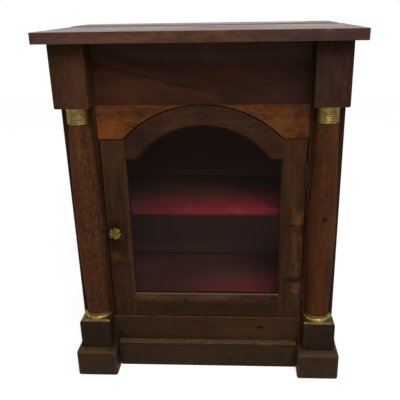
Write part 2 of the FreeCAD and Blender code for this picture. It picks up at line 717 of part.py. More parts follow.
def hinge_pieces():
    """Two butt hinges: leaves, pins and screws, with the keeper's screws among the cabinet's."""
    hinges = {}
    pins = []
    for place, height in zip(("lower", "upper"), hinge_heights):
        hinges[f"{place}_hinge_cabinet_leaf"] = hinge_leaf(height, 1)
        hinges[f"{place}_hinge_door_leaf"] = hinge_leaf(height, -1)
        pin_start = Vector(hinge_x, hinge_y, leaf_height(height)[0])
        pins.append(rod(HINGE_PIN_RADIUS, pin_start, UP, HINGE_LENGTH))
    hinges["hinge_pins"] = Part.makeCompound(pins)
    hinges["cabinet_screws"] = Part.makeCompound(hinge_screws(1, 0) + keeper_screws(0))
    hinges["door_hinge_screws"] = Part.makeCompound(hinge_screws(-1, 0))
    return hinges


def keeper_blank():
    """The keeper plate, which is also the seat cut for it in the left stile."""
    keeper_z = (knob_z - KEEPER_HEIGHT / 2, knob_z + KEEPER_HEIGHT / 2)
    keeper_x = (-opening_half - KEEPER_WIDTH, -opening_half)
    return slab(keeper_x, (stile_back - KEEPER_THICKNESS, stile_back), keeper_z)


def keeper_screws(grow):
    """The two screws of the keeper plate, driven forwards into the stile."""
    middle = -opening_half - KEEPER_WIDTH / 2
    bottom = knob_z - KEEPER_HEIGHT / 2
    starts = [Vector(middle, stile_back, bottom + KEEPER_HEIGHT * share) for share in keeper_screw_shares]
    return [wood_screw(start, -TO_BACK, KEEPER_THICKNESS, grow) for start in starts]


def spindle(grow):
    """The rod through the left door stile, from inside the knob to the far side of the nut."""
    start_y = door_front - ROSE_THICKNESS - KNOB_CLEARANCE - SPINDLE_SOCKET_DEPTH
    end_y = stile_back + TONGUE_CLEARANCE + TONGUE_THICKNESS + NUT_THICKNESS
    return rod(SPINDLE_RADIUS + grow, Vector(knob_x, start_y, knob_z), TO_BACK, end_y - start_y)


def knob():
    """A flower-shaped knob: a ring of round petals about a domed heart, on a neck."""
    neck_back = door_front - ROSE_THICKNESS - KNOB_CLEARANCE
    disc_back = neck_back - KNOB_NECK_LENGTH
    disc_front = disc_back - KNOB_DISC_THICKNESS
    petal_ring = KNOB_RADIUS - KNOB_PETAL_RADIUS
    neck = rod(KNOB_NECK_RADIUS, Vector(knob_x, neck_back, knob_z), -TO_BACK, KNOB_NECK_LENGTH)
    disc = rod(petal_ring, Vector(knob_x, disc_back, knob_z), -TO_BACK, KNOB_DISC_THICKNESS)
    heart = Part.makeSphere(KNOB_HEART_RADIUS, Vector(knob_x, disc_front, knob_z))
    petals = []
    for number in range(KNOB_PETAL_COUNT):
        angle = 2 * math.pi * number / KNOB_PETAL_COUNT
        across = petal_ring * math.cos(angle)
        rise = petal_ring * math.sin(angle)
        middle = Vector(knob_x + across, (disc_back + disc_front) / 2, knob_z + rise)
        petals.append(Part.makeSphere(KNOB_PETAL_RADIUS, middle))
    return neck.fuse([disc, heart] + petals).removeSplitter().cut(spindle(SPINDLE_CLEARANCE))


def latch_pieces():
    """The knob on its rose, its spindle, the tongue behind the door, its nut and the keeper."""
    rose = rod(ROSE_RADIUS, Vector(knob_x, door_front - ROSE_THICKNESS, knob_z), TO_BACK, ROSE_THICKNESS)
    hole = spindle(SPINDLE_CLEARANCE)
    tongue_front = stile_back + TONGUE_CLEARANCE
    tongue_back = tongue_front + TONGUE_THICKNESS
    half = TONGUE_WIDTH / 2
    tip = knob_z - TONGUE_LENGTH + half
    outline = [
        line((knob_x - half, tip), (knob_x - half, knob_z)),
        arc((knob_x - half, knob_z), (knob_x, knob_z + half), (knob_x + half, knob_z)),
        line((knob_x + half, knob_z), (knob_x + half, tip)),
        arc((knob_x + half, tip), (knob_x, tip - half), (knob_x - half, tip)),
    ]
    corners = []
    for number in range(NUT_SIDES + 1):
        angle = 2 * math.pi * number / NUT_SIDES
        across = NUT_RADIUS * math.cos(angle)
        rise = NUT_RADIUS * math.sin(angle)
        corners.append(Vector(knob_x + across, tongue_back, knob_z + rise))
    nut = Part.Face(Part.makePolygon(corners)).extrude(TO_BACK * NUT_THICKNESS)
    return {
        "knob": knob(),
        "knob_rose": rose.cut(hole),
        "knob_spindle": spindle(0),
        "latch_tongue": board(outline, tongue_front, tongue_back).cut(hole),
        "latch_nut": nut.cut(hole),
        "latch_keeper": keeper_blank().cut(keeper_screws(SCREW_CLEARANCE)),
    }


os.makedirs("parts", exist_ok=True)
pieces = {
    **top_pieces(),
    **side_pieces(),
    **front_stiles(),
    **front_boards(),
    **column_stack(),
    **inside_pieces(),
    **back_pieces(),
    **door_pieces(),
    **hinge_pieces(),
    **latch_pieces(),
}
for name, shape in pieces.items():
    shape.exportStep(f"parts/{name}.step")
print(len(pieces), "pieces")
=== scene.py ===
import logging
import math
from collections.abc import Sequence
from dataclasses import dataclass, replace
from enum import Enum

import bmesh
import bpy
from mathutils import Matrix, Vector, noise


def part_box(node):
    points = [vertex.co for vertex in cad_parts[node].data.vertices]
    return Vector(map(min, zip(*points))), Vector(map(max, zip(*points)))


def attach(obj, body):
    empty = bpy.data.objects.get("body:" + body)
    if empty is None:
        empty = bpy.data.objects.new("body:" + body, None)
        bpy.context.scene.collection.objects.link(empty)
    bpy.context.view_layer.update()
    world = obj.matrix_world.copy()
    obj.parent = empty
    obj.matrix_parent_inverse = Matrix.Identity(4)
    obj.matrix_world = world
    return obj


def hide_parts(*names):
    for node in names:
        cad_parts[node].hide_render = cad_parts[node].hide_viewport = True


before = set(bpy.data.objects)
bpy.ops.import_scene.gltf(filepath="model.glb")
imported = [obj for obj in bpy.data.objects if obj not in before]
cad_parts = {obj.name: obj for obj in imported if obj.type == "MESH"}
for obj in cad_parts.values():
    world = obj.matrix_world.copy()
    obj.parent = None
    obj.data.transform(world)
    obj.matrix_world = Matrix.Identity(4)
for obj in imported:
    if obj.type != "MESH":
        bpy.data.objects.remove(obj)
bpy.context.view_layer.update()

LOG = logging.getLogger("display_cabinet")

Colour = tuple[float, float, float]
Point = tuple[float, float, float]
Socket = bpy.types.NodeSocket

# Lengths are in metres and colours are display values from 0 to 255
MILLIMETRE = 0.001
FULL_DISPLAY = 255.0
WELD = 0.001 * MILLIMETRE
FLAT_ANGLE = math.radians(0.5)
SHARP_ANGLE = math.radians(30.0)
SQUARE_SHARE = 0.985
SLANT_SHARE = 0.3
# A face attribute: the share of each face that takes its wood's third colour, for rubbed arrises, painted top
# light on faces that look up and painted light and shade on slanted faces
WEAR_AND_PAINTED_LIGHT = "edge_wear_and_painted_light"

# The display curve: a straight part up to its knee, then a power
CURVE_KNEE = 0.04045
CURVE_SLOPE = 12.92
CURVE_LIFT = 0.055
CURVE_POWER = 2.4

# How boards take different parts of the wood pattern
SHIFT_CYCLES = (17, 23, 29)
SHIFT_STEP = 0.37

# The colour sockets of the mix node
MIX_FIRST = 6
MIX_SECOND = 7
MIX_RESULT = 2

# Patches: clouds in the smallest reach, the finest reach that counts, and where the soft edge ends
PATCH_CLOUDS = 0.7
FINEST_PATCH = 4.0 * MILLIMETRE
PATCH_EDGE = 1.25

# Lines in the figure: waves per metre, and the share of the length that fades at each end
SWAY_RATE = 18.0
FADE_SHARE = 0.15


def linear(colour: Colour) -> tuple[float, float, float, float]:
    """Turns a display colour into the shader's linear one.

    Args:
        colour: red, green and blue from 0 to 255.

    Returns:
        Linear red, green, blue and a full alpha.
    """
    bent = []
    for value in colour:
        share = value / FULL_DISPLAY
        raised = ((share + CURVE_LIFT) / (1.0 + CURVE_LIFT)) ** CURVE_POWER
        bent.append(share / CURVE_SLOPE if share <= CURVE_KNEE else raised)
    return (*bent, 1.0)


def shift_of(name: str) -> Vector:
    """Gives each board its own part of the wood pattern.

    Args:
        name: the board's name.

    Returns:
        A shift of the pattern, worked out from the letters of the name.
    """
    seed = sum(ord(letter) * (place + 1) for place, letter in enumerate(name))
    return Vector([seed % cycle for cycle in SHIFT_CYCLES]) * SHIFT_STEP


class Grain(Enum):
    """The way that a board's grain runs."""

    ACROSS = 0
    DEEP = 1
    UPRIGHT = 2

    def squeeze(self, share: float) -> Vector:
        """Returns scales that stretch a pattern along the grain to a share of its rate."""
        return Vector([share if axis == self.value else 1.0 for axis in range(3)])


class Paint:
    """Builds the node tree of one material."""

    def __init__(self, owner: bpy.types.Material | bpy.types.World) -> None:
        """Starts an empty tree.

        Args:
            owner: the material or the world that is painted.
        """
        owner.use_nodes = True
        self.owner = owner
        self.tree = owner.node_tree
        self.tree.nodes.clear()

    @classmethod
    def named(cls, name: str) -> "Paint":
        """Starts the tree of a new material."""
        return cls(bpy.data.materials.new(name))

    def add(self, kind: str, **settings: object) -> bpy.types.Node:
        """Adds a node.

        Args:
            kind: the node's type.
            settings: its properties.

        Returns:
            The node.
        """
        node = self.tree.nodes.new(kind)
        for name, value in settings.items():
            setattr(node, name, value)
        return node

    def feed(self, target: Socket, value: object) -> None:
        """Links an output to an input, or sets a plain value on it.

        Args:
            target: the input.
            value: an output socket, a number or a colour.
        """
        if isinstance(value, bpy.types.NodeSocket):
            self.tree.links.new(value, target)
        else:
            target.default_value = value

    def place(self) -> Socket:
        """Returns the point of the surface in the cabinet's own frame."""
        return self.add("ShaderNodeTexCoord").outputs["Object"]

    def step(
        self, kind: str, output: int | str, inputs: dict[int | str, object], **settings: object
    ) -> Socket:
        """Adds a node and feeds its inputs.

        Args:
            kind: the node's type.
            output: the output that is wanted.
            inputs: outputs, numbers or colours for its inputs.
            settings: its properties.

        Returns:
            The output.
        """
        node = self.add(kind, **settings)
        for name, value in inputs.items():
            self.feed(node.inputs[name], value)
        return node.outputs[output]

    def mapped(self, place: Socket, shift: Sequence[float], rates: Sequence[float]) -> Socket:
        """Stretches a place by a rate along each axis, and then shifts it."""
        inputs = {"Vector": place, "Location": shift, "Scale": rates}
        return self.step("ShaderNodeMapping", "Vector", inputs)

    def noise(self, place: Socket, rate: float, detail: float = 2.0, swirl: float = 0.0) -> Socket:
        """Returns a cloudy pattern from its clouds per metre, its octaves of finer clouds and its twist."""
        inputs = {"Vector": place, "Scale": rate, "Detail": detail, "Distortion": swirl}
        return self.step("ShaderNodeTexNoise", 0, inputs)

    def spread(self, value: Socket, low: float, high: float, first: float = 0.0, last: float = 1.0) -> Socket:
        """Maps the values from low to high smoothly to those from first to last."""
        inputs = {"Value": value, "From Min": low, "From Max": high, "To Min": first, "To Max": last}
        return self.step("ShaderNodeMapRange", 0, inputs, interpolation_type="SMOOTHSTEP")

    def sum(self, operation: str, first: object, second: object) -> Socket:
        """Works out two numbers by Blender's operation of this name."""
        return self.step("ShaderNodeMath", 0, {0: first, 1: second}, operation=operation)

    def ramp(self, value: Socket, stops: Sequence[tuple[float, Colour]]) -> Socket:
        """Colours a value.

        Args:
            value: the value.
            stops: places from 0 to 1 with their colours.

        Returns:
            The colour.
        """
        node = self.add("ShaderNodeValToRGB")
        ends = node.color_ramp.elements
        while len(ends) < len(stops):
            ends.new(0.5)
        for element, (place, colour) in zip(ends, stops):
            element.position = place
            element.color = linear(colour)
        self.feed(node.inputs[0], value)
        return node.outputs[0]

    def blend(self, share: object, first: object, second: object) -> Socket:
        """Mixes two colours, with this share of the second one."""
        inputs = {0: share, MIX_FIRST: first, MIX_SECOND: second}
        return self.step("ShaderNodeMix", MIX_RESULT, inputs, data_type="RGBA")

    def toned(self, colour: Socket, factor: Socket) -> Socket:
        """Makes a colour darker or lighter by a factor."""
        return self.step("ShaderNodeVectorMath", 0, {0: colour, "Scale": factor}, operation="SCALE")

    def vectors(self, operation: str, first: object, second: object) -> Socket:
        """Works out two vectors by Blender's operation of this name, to a vector."""
        return self.step("ShaderNodeVectorMath", 0, {0: first, 1: second}, operation=operation)

    def measure(self, operation: str, first: object, second: object = (0.0, 0.0, 0.0)) -> Socket:
        """Works out one or two vectors by Blender's operation of this name, to a number."""
        return self.step("ShaderNodeVectorMath", 1, {0: first, 1: second}, operation=operation)

    def bump(self, height: Socket, strength: float, distance: float) -> Socket:
        """Returns the normal, bent by a share of a relief of this depth."""
        inputs = {"Strength": strength, "Distance": distance, "Height": height}
        return self.step("ShaderNodeBump", 0, inputs)

    def coat(self, **inputs: object) -> bpy.types.Material:
        """Ends the tree in a principled surface, with underscores for spaces in its inputs' names."""
        named = {name.replace("_", " "): value for name, value in inputs.items()}
        return self.end(self.step("ShaderNodeBsdfPrincipled", 0, named))

    def end(self, shader: Socket) -> bpy.types.Material:
        """Links a shader to the material's output.

        Args:
            shader: the shader.

        Returns:
            The material.
        """
        output = self.add("ShaderNodeOutputMaterial")
        self.feed(output.inputs["Surface"], shader)
        return self.owner


@dataclass(frozen=True)
class StainAndPaintedLight:
    """A patch of another colour, round a middle and with soft edges, used for stains, knots and figure in the
    wood, and in a few places for painted light and shade.
    """

    middle: Point
    reach: Point
    colour: Colour
    strength: float = 0.6
    raggedness: float = 0.35

    def lay(self, paint: Paint, place: Socket, colour: Socket) -> Socket:
        """Lays the patch over a colour.

        Args:
            paint: the material's tree.
            place: the point of the surface.
            colour: the wood's colour.

        Returns:
            The colour with the patch in it.
        """
        offset = paint.vectors("SUBTRACT", place, self.middle)
        far = paint.measure("LENGTH", paint.vectors("DIVIDE", offset, self.reach))
        rate = PATCH_CLOUDS / max(min(self.reach), FINEST_PATCH)
        ragged = paint.spread(paint.noise(place, rate, 3.0), 0.25, 0.75, -self.raggedness, self.raggedness)
        share = paint.spread(paint.sum("ADD", far, ragged), 0.0, PATCH_EDGE, self.strength, 0.0)
        return paint.blend(share, colour, linear(self.colour))


@dataclass(frozen=True)
class Vein:
    """A line or band in the figure of a front board, from one point of its face to another."""

    start: tuple[float, float]
    stop: tuple[float, float]
    width: float
    colour: Colour
    strength: float = 0.8
    sway: float = 0.001

    def lay(self, paint: Paint, place: Socket, colour: Socket) -> Socket:
        """Draws the line over a colour.

        Args:
            paint: the material's tree.
            place: the point of the surface.
            colour: the wood's colour.

        Returns:
            The colour with the line in it.
        """
        start = Vector((self.start[0], 0.0, self.start[1]))
        run = Vector((self.stop[0], 0.0, self.stop[1])) - start
        along = run.normalized()
        across = Vector((-along.z, 0.0, along.x))
        offset = paint.vectors("SUBTRACT", place, start)
        aside = paint.measure("DOT_PRODUCT", offset, across)
        swaying = paint.spread(paint.noise(place, SWAY_RATE), 0.3, 0.7, -self.sway, self.sway)
        gap = paint.sum("ABSOLUTE", paint.sum("ADD", aside, swaying), 0.0)
        share = paint.spread(gap, 0.0, self.width, self.strength, 0.0)
        gone = paint.measure("DOT_PRODUCT", offset, along)
        fade = FADE_SHARE * run.length
        before = paint.spread(gone, -fade, 0.0)
        after = paint.spread(gone, run.length - fade, run.length, 1.0, 0.0)
        kept = paint.sum("MULTIPLY", paint.sum("MULTIPLY", before, after), share)
        return paint.blend(kept, colour, linear(self.colour))


Mark = StainAndPaintedLight | Vein


@dataclass(frozen=True)
class Pattern:
    """A cloudy pattern in wood: its stretch along the grain, clouds per metre, octaves and twist."""

    squeeze: float
    rate: float
    detail: float = 2.0
    swirl: float = 0.0


CLOUDS = Pattern(0.4, 13.0, 3.0, 0.6)
STREAKS = Pattern(0.06, 70.0, 4.0, 0.4)
MOTTLE = Pattern(0.3, 170.0, 3.0, 0.3)
FLECKS = Pattern(0.22, 300.0, 1.5)
SPECKS = Pattern(0.8, 340.0, 1.0)
FIBRES = Pattern(0.04, 640.0)
PORES = Pattern(0.1, 900.0, 1.0)
RUBBED = Pattern(0.3, 160.0, 3.0)
FLECK_TONE = 0.4
SPECK_TONE = 0.25


@dataclass(frozen=True)
class WoodFinish:
    """Old polished wood: two browns in clouds, with streaks, mottle, pores, dark specks and rubbed arrises;
    the colour of the rubbed arrises is also laid as painted top light on faces that look up and as painted
    light and shade on slanted faces.
    """

    name: str
    colour: Colour
    other: Colour
    # The colour of rubbed arrises, also laid as painted top light and as painted light and shade on slanted
    # faces
    wear_and_painted_light: Colour
    figure: float = 0.14
    mottle: float = 0.16
    flecks: float = 0.3
    specks: float = 0.0
    rubbing: float = 0.7
    roughness: float = 0.5
    gloss: float = 0.03

    def material(self, piece: str, grain: Grain, marks: Sequence[Mark] = ()) -> bpy.types.Material:
        """Makes the finish for one board.

        Args:
            piece: the board's name.
            grain: the way its grain runs.
            marks: knots, patches and lines of its own, some of them painted light and shade.

        Returns:
            The material.
        """
        paint = Paint.named(f"{self.name}_{piece}")
        place = paint.place()
        shift = shift_of(piece)

        def pattern(kind: Pattern) -> Socket:
            """Returns a pattern that is stretched along the grain."""
            stretched = paint.mapped(place, shift, grain.squeeze(kind.squeeze))
            return paint.noise(stretched, kind.rate, kind.detail, kind.swirl)

        cloud = pattern(CLOUDS)
        colour = paint.blend(paint.spread(cloud, 0.36, 0.64), linear(self.colour), linear(self.other))
        streak = pattern(STREAKS)
        colour = paint.toned(colour, paint.spread(streak, 0.3, 0.7, 1.0 - self.figure, 1.0 + self.figure))
        mottle = pattern(MOTTLE)
        colour = paint.toned(colour, paint.spread(mottle, 0.28, 0.72, 1.0 - self.mottle, 1.0 + self.mottle))
        fleck = paint.spread(pattern(FLECKS), 0.6, 0.72, 0.0, self.flecks)
        colour = paint.blend(fleck, colour, linear([FLECK_TONE * value for value in self.colour]))
        speck = paint.spread(pattern(SPECKS), 0.6, 0.68, 0.0, self.specks)
        colour = paint.blend(speck, colour, linear([SPECK_TONE * value for value in self.colour]))
        pore = paint.spread(pattern(PORES), 0.62, 0.72)
        relief = paint.sum("SUBTRACT", pattern(FIBRES), pore)
        colour = paint.toned(colour, paint.spread(relief, -0.5, 0.75, 0.78, 1.1))
        # Rubbed arrises, painted top light and painted light and shade on slanted faces, all in the third
        # colour
        wear_and_light_share = paint.add("ShaderNodeAttribute", attribute_name=WEAR_AND_PAINTED_LIGHT).outputs["Fac"]
        rubbed = paint.spread(pattern(RUBBED), 0.36, 0.62, 0.3, self.rubbing)
        colour = paint.blend(paint.sum("MULTIPLY", wear_and_light_share, rubbed), colour, linear(self.wear_and_painted_light))
        for mark in marks:
            colour = mark.lay(paint, place, colour)
        return paint.coat(
            Base_Color=colour,
            Roughness=paint.spread(cloud, 0.3, 0.7, self.roughness - 0.07, self.roughness + 0.07),
            Specular_IOR_Level=self.gloss,
            Normal=paint.bump(relief, 0.12, 0.3 * MILLIMETRE),
        )


@dataclass(frozen=True)
class BrassFinish:
    """Brass gone dull, with brighter rubbed places and dark spots."""

    name: str
    dull: Colour
    bright: Colour
    spot: Colour
    roughness: float = 0.36
    cloud_rate: float = 90.0
    spot_rate: float = 420.0
    relief_rate: float = 260.0

    def material(self) -> bpy.types.Material:
        """Makes the finish.

        Returns:
            The material.
        """
        paint = Paint.named(self.name)
        place = paint.place()
        cloud = paint.noise(place, self.cloud_rate, 3.0, 0.6)
        colour = paint.ramp(cloud, ((0.35, self.dull), (0.65, self.bright)))
        spots = paint.spread(paint.noise(place, self.spot_rate), 0.62, 0.74, 0.0, 0.4)
        colour = paint.blend(spots, colour, linear(self.spot))
        return paint.coat(
            Base_Color=colour,
            Metallic=1.0,
            Roughness=paint.spread(cloud, 0.3, 0.7, self.roughness + 0.12, self.roughness - 0.08),
            Normal=paint.bump(paint.noise(place, self.relief_rate, 3.0), 0.06, 0.4 * MILLIMETRE),
        )


@dataclass(frozen=True)
class SteelFinish:
    """Dark steel with rubbed and brown places."""

    name: str
    dark: Colour
    rubbed: Colour
    brown: Colour
    metal: float = 0.85
    cloud_rate: float = 180.0
    rust_rate: float = 320.0
    relief_rate: float = 700.0

    def material(self) -> bpy.types.Material:
        """Makes the finish.

        Returns:
            The material.
        """
        paint = Paint.named(self.name)
        place = paint.place()
        cloud = paint.noise(place, self.cloud_rate, 4.0, 0.5)
        colour = paint.ramp(cloud, ((0.38, self.dark), (0.66, self.rubbed)))
        rust = paint.spread(paint.noise(place, self.rust_rate, 3.0), 0.56, 0.68, 0.0, 0.7)
        return paint.coat(
            Base_Color=paint.blend(rust, colour, linear(self.brown)),
            Metallic=self.metal,
            Roughness=paint.spread(rust, 0.0, 0.7, 0.38, 0.7),
            Normal=paint.bump(paint.noise(place, self.relief_rate), 0.15, 0.2 * MILLIMETRE),
        )


@dataclass(frozen=True)
class ClothFinish:
    """Plain woven cloth with painted shade that darkens it toward the back, a paler rear, and painted light
    and shade from one side to the other.
    """

    name: str
    deep: Colour
    middle: Colour
    faded: Colour
    # The colour of the painted shade toward the back
    painted_back_shade: Colour
    rear: Colour
    # Factors of painted shade and painted light, at the left and at the right
    sides: tuple[float, float]
    half_span: float = 0.16
    rear_start: float = 0.05
    rear_end: float = 0.17
    lean: float = -0.3
    threads: float = 700.0
    thread_sway: float = 0.4
    cloud_rate: float = 22.0
    lint_rate: float = 520.0
    roughness: float = 0.9
    gloss: float = 0.02

    def material(self, front: float, back: float) -> bpy.types.Material:
        """Makes the finish.

        Args:
            front: the depth where the painted shade starts.
            back: the depth where the painted shade is darkest.

        Returns:
            The material.
        """
        paint = Paint.named(self.name)
        place = paint.place()
        cloud = paint.noise(place, self.cloud_rate, 4.0, 0.4)
        colour = paint.ramp(cloud, ((0.3, self.deep), (0.5, self.middle), (0.72, self.faded)))
        # Painted shade toward the back, along a depth that leans across the width
        depth = paint.measure("DOT_PRODUCT", place, (self.lean, 1.0, 0.0))
        colour = paint.blend(paint.spread(depth, front, back), colour, linear(self.painted_back_shade))
        rear = paint.spread(depth, back + self.rear_start, back + self.rear_end)
        colour = paint.blend(rear, colour, linear(self.rear))
        # Painted light and shade across the width, darker at one side and lighter at the other
        across = paint.measure("DOT_PRODUCT", place, (1.0, 0.0, 0.0))
        colour = paint.toned(colour, paint.spread(across, -self.half_span, self.half_span, *self.sides))
        inputs = {"Vector": place, "Scale": self.threads, "Distortion": self.thread_sway}
        weave = [
            paint.step("ShaderNodeTexWave", "Fac", inputs, bands_direction=direction)
            for direction in ("X", "DIAGONAL")
        ]
        relief = paint.sum("ADD", *weave)
        colour = paint.toned(colour, paint.spread(relief, 0.0, 2.0, 0.86, 1.1))
        lint = paint.spread(paint.noise(place, self.lint_rate), 0.6, 0.75, 1.0, 1.25)
        return paint.coat(
            Base_Color=paint.toned(colour, lint),
            Roughness=self.roughness,
            Specular_IOR_Level=self.gloss,
            Normal=paint.bump(relief, 0.3, 0.3 * MILLIMETRE),
        )


@dataclass(frozen=True)
class GlassFinish:
    """Clear sheet glass that light passes straight through, and that mirrors on its outer faces."""

    name: str
    tint: Colour
    index: float
    roughness: float = 0.0

    def material(self) -> bpy.types.Material:
        """Makes the finish.

        Returns:
            The material.
        """
        paint = Paint.named(self.name)
        through = paint.step("ShaderNodeBsdfTransparent", 0, {"Color": linear(self.tint)})
        mirror = paint.step("ShaderNodeBsdfGlossy", 0, {"Roughness": self.roughness})
        edge = paint.step("ShaderNodeFresnel", 0, {"IOR": self.index})
        inner = paint.step("ShaderNodeNewGeometry", "Backfacing", {})
        share = paint.sum("MULTIPLY", edge, paint.sum("SUBTRACT", 1.0, inner))
        return paint.end(paint.step("ShaderNodeMixShader", 0, {0: share, 1: through, 2: mirror}))


# Each wood's third colour is that of rubbed arrises; on the plinth and the feet it is also painted top light
# on faces that look up, on the door's stiles and bottom rail painted light on the slanted faces of their
# bevels, and on the arch rail only painted shade on its bevel
TOP_WOOD = WoodFinish(
    "top_wood", (69, 43, 36), (78, 50, 34), (124, 82, 52), 0.2, 0.32, specks=0.3, roughness=0.34, gloss=0.12
)
LIGHT_BLOCK_WOOD = WoodFinish("light_block_wood", (69, 43, 28), (63, 40, 26), (88, 60, 40))
BLOCK_WOOD = WoodFinish("block_wood", (54, 35, 26), (49, 33, 25), (80, 56, 38))
FRIEZE_WOOD = WoodFinish("frieze_wood", (55, 31, 21), (47, 29, 20), (70, 44, 30), figure=0.08, specks=0.25)
STILE_WOOD = WoodFinish("stile_wood", (54, 31, 15), (45, 27, 14), (60, 40, 28))
SPANDREL_WOOD = WoodFinish(
    "spandrel_wood", (82, 46, 23), (90, 52, 27), (110, 70, 40), mottle=0.28, specks=0.4
)
DOOR_WOOD = WoodFinish("door_wood", (61, 38, 22), (52, 34, 21), (90, 62, 42), figure=0.26, flecks=0.4)
# Its dark third colour is painted shade on the slanted faces of the arch's bevel
ARCH_WOOD = WoodFinish("arch_wood", (61, 38, 23), (52, 33, 22), (20, 18, 13), figure=0.16, flecks=0.4)
SILL_WOOD = WoodFinish("sill_wood", (46, 31, 20), (50, 33, 21), (104, 74, 52), flecks=0.5)
RAIL_WOOD = WoodFinish("rail_wood", (54, 37, 23), (60, 39, 24), (112, 86, 62), flecks=0.5, specks=0.7)
PLINTH_WOOD = WoodFinish("plinth_wood", (57, 41, 29), (54, 40, 28), (106, 80, 55), flecks=0.5)
SPECKED_WOOD = WoodFinish(
    "specked_wood", (88, 50, 28), (73, 45, 28), (80, 54, 36), mottle=0.26, specks=0.9, roughness=0.7
)
COLUMN_WOOD = WoodFinish("column_wood", (80, 44, 25), (67, 40, 24), (80, 54, 36), specks=0.3, roughness=0.7)
FOOT_WOOD = WoodFinish("foot_wood", (57, 42, 30), (60, 43, 30), (92, 69, 49), figure=0.1, rubbing=0.5)
PEDESTAL_WOOD = WoodFinish("pedestal_wood", (45, 33, 23), (42, 31, 22), (62, 47, 34), figure=0.12)
SIDE_WOOD = WoodFinish("side_wood", (52, 35, 24), (58, 38, 25), (80, 56, 40))
BARE_WOOD = WoodFinish("bare_wood", (84, 61, 42), (96, 72, 50), (110, 86, 62), roughness=0.75)
INNER_WOOD = WoodFinish("inner_wood", (40, 22, 16), (44, 25, 18), (48, 30, 22), roughness=0.7)
BRASS = BrassFinish("aged_brass", (96, 80, 41), (122, 103, 54), (66, 52, 25), 0.42)
RING_BRASS = BrassFinish("rubbed_brass", (114, 97, 52), (142, 123, 67), (82, 66, 32), 0.42)
KNOB_BRASS = BrassFinish("knob_brass", (76, 62, 31), (118, 99, 53), (34, 25, 12))
STEEL = SteelFinish("dark_steel", (22, 19, 17), (48, 43, 38), (40, 28, 20))
# In each cloth the fourth colour is painted shade toward the back, and the two last numbers are painted shade
# and light across the width
SHELF_CLOTH = ClothFinish(
    "red_shelf_cloth", (105, 31, 35), (119, 38, 42), (130, 47, 49), (93, 53, 47), (112, 66, 59), (0.80, 1.25)
)
FLOOR_CLOTH = ClothFinish(
    "red_floor_cloth", (85, 28, 30), (97, 35, 36), (106, 43, 42), (76, 47, 43), (104, 72, 67), (0.83, 1.62)
)
GLASS = GlassFinish("door_glass", (255, 253, 253), 1.45)

# The depths of the faces that bear marks
FRONT = -0.140
DOOR_FRONT = -0.137
COLUMN_FRONT = -0.176
BLOCK_FRONT = -0.182

# Patches, knots and lines of single boards, where the photograph shows them
FRIEZE_MARKS = (
    StainAndPaintedLight((0.20, FRONT, 0.82), (0.16, 0.05, 0.09), (42, 27, 22)),
    StainAndPaintedLight((0.235, FRONT, 0.80), (0.035, 0.05, 0.10), (34, 25, 20)),
    StainAndPaintedLight((-0.02, FRONT, 0.845), (0.26, 0.05, 0.035), (42, 26, 20)),
    StainAndPaintedLight((-0.17, FRONT, 0.768), (0.12, 0.05, 0.045), (76, 44, 27)),
    StainAndPaintedLight((0.182, FRONT, 0.745), (0.10, 0.05, 0.022), (58, 35, 23), 0.4),
    # Painted light: two lighter bands along the top of the frieze lift the shade that the top board's
    # overhang casts on it
    StainAndPaintedLight((0.0, FRONT, 0.868), (0.6, 0.05, 0.024), (76, 53, 43), 0.8, 0.1),
    StainAndPaintedLight((0.0, FRONT, 0.842), (0.6, 0.05, 0.026), (77, 53, 43), 0.8, 0.1),
    Vein((-0.200, 0.838), (0.160, 0.752), 0.018, (38, 23, 18), 0.5, 0.006),
    Vein((-0.240, 0.800), (0.060, 0.735), 0.016, (72, 41, 25), 0.5, 0.006),
    Vein((-0.254, 0.827), (0.030, 0.752), 0.0026, (28, 12, 7), 0.75),
)
SPANDREL_MARKS = {
    "left_spandrel": (
        StainAndPaintedLight((-0.228, FRONT, 0.664), (0.05, 0.05, 0.035), (126, 69, 30), 0.75),
        StainAndPaintedLight((-0.13, FRONT, 0.712), (0.05, 0.05, 0.018), (60, 34, 18), 0.5),
    ),
    "right_spandrel": (
        StainAndPaintedLight((0.190, FRONT, 0.69), (0.05, 0.05, 0.03), (112, 67, 36), 0.5),
        StainAndPaintedLight((0.236, FRONT, 0.710), (0.045, 0.05, 0.022), (48, 28, 16), 0.7, 0.6),
        StainAndPaintedLight((0.240, FRONT, 0.652), (0.028, 0.05, 0.012), (44, 26, 15), 0.7),
        StainAndPaintedLight((0.148, FRONT, 0.694), (0.003, 0.02, 0.004), (30, 15, 8), 0.9),
    ),
}
STILE_MARKS = {
    "left_front_stile": (),
    "right_front_stile": (StainAndPaintedLight((0.333, FRONT, 0.570), (0.006, 0.02, 0.020), (8, 6, 5), 0.95),),
}
RAIL_MARKS = (
    StainAndPaintedLight((0.12, FRONT, 0.105), (0.2, 0.05, 0.05), (74, 49, 30)),
    StainAndPaintedLight((0.143, FRONT, 0.115), (0.011, 0.02, 0.007), (18, 10, 6), 0.9),
    StainAndPaintedLight((-0.237, FRONT, 0.092), (0.02, 0.02, 0.016), (30, 20, 13)),
)
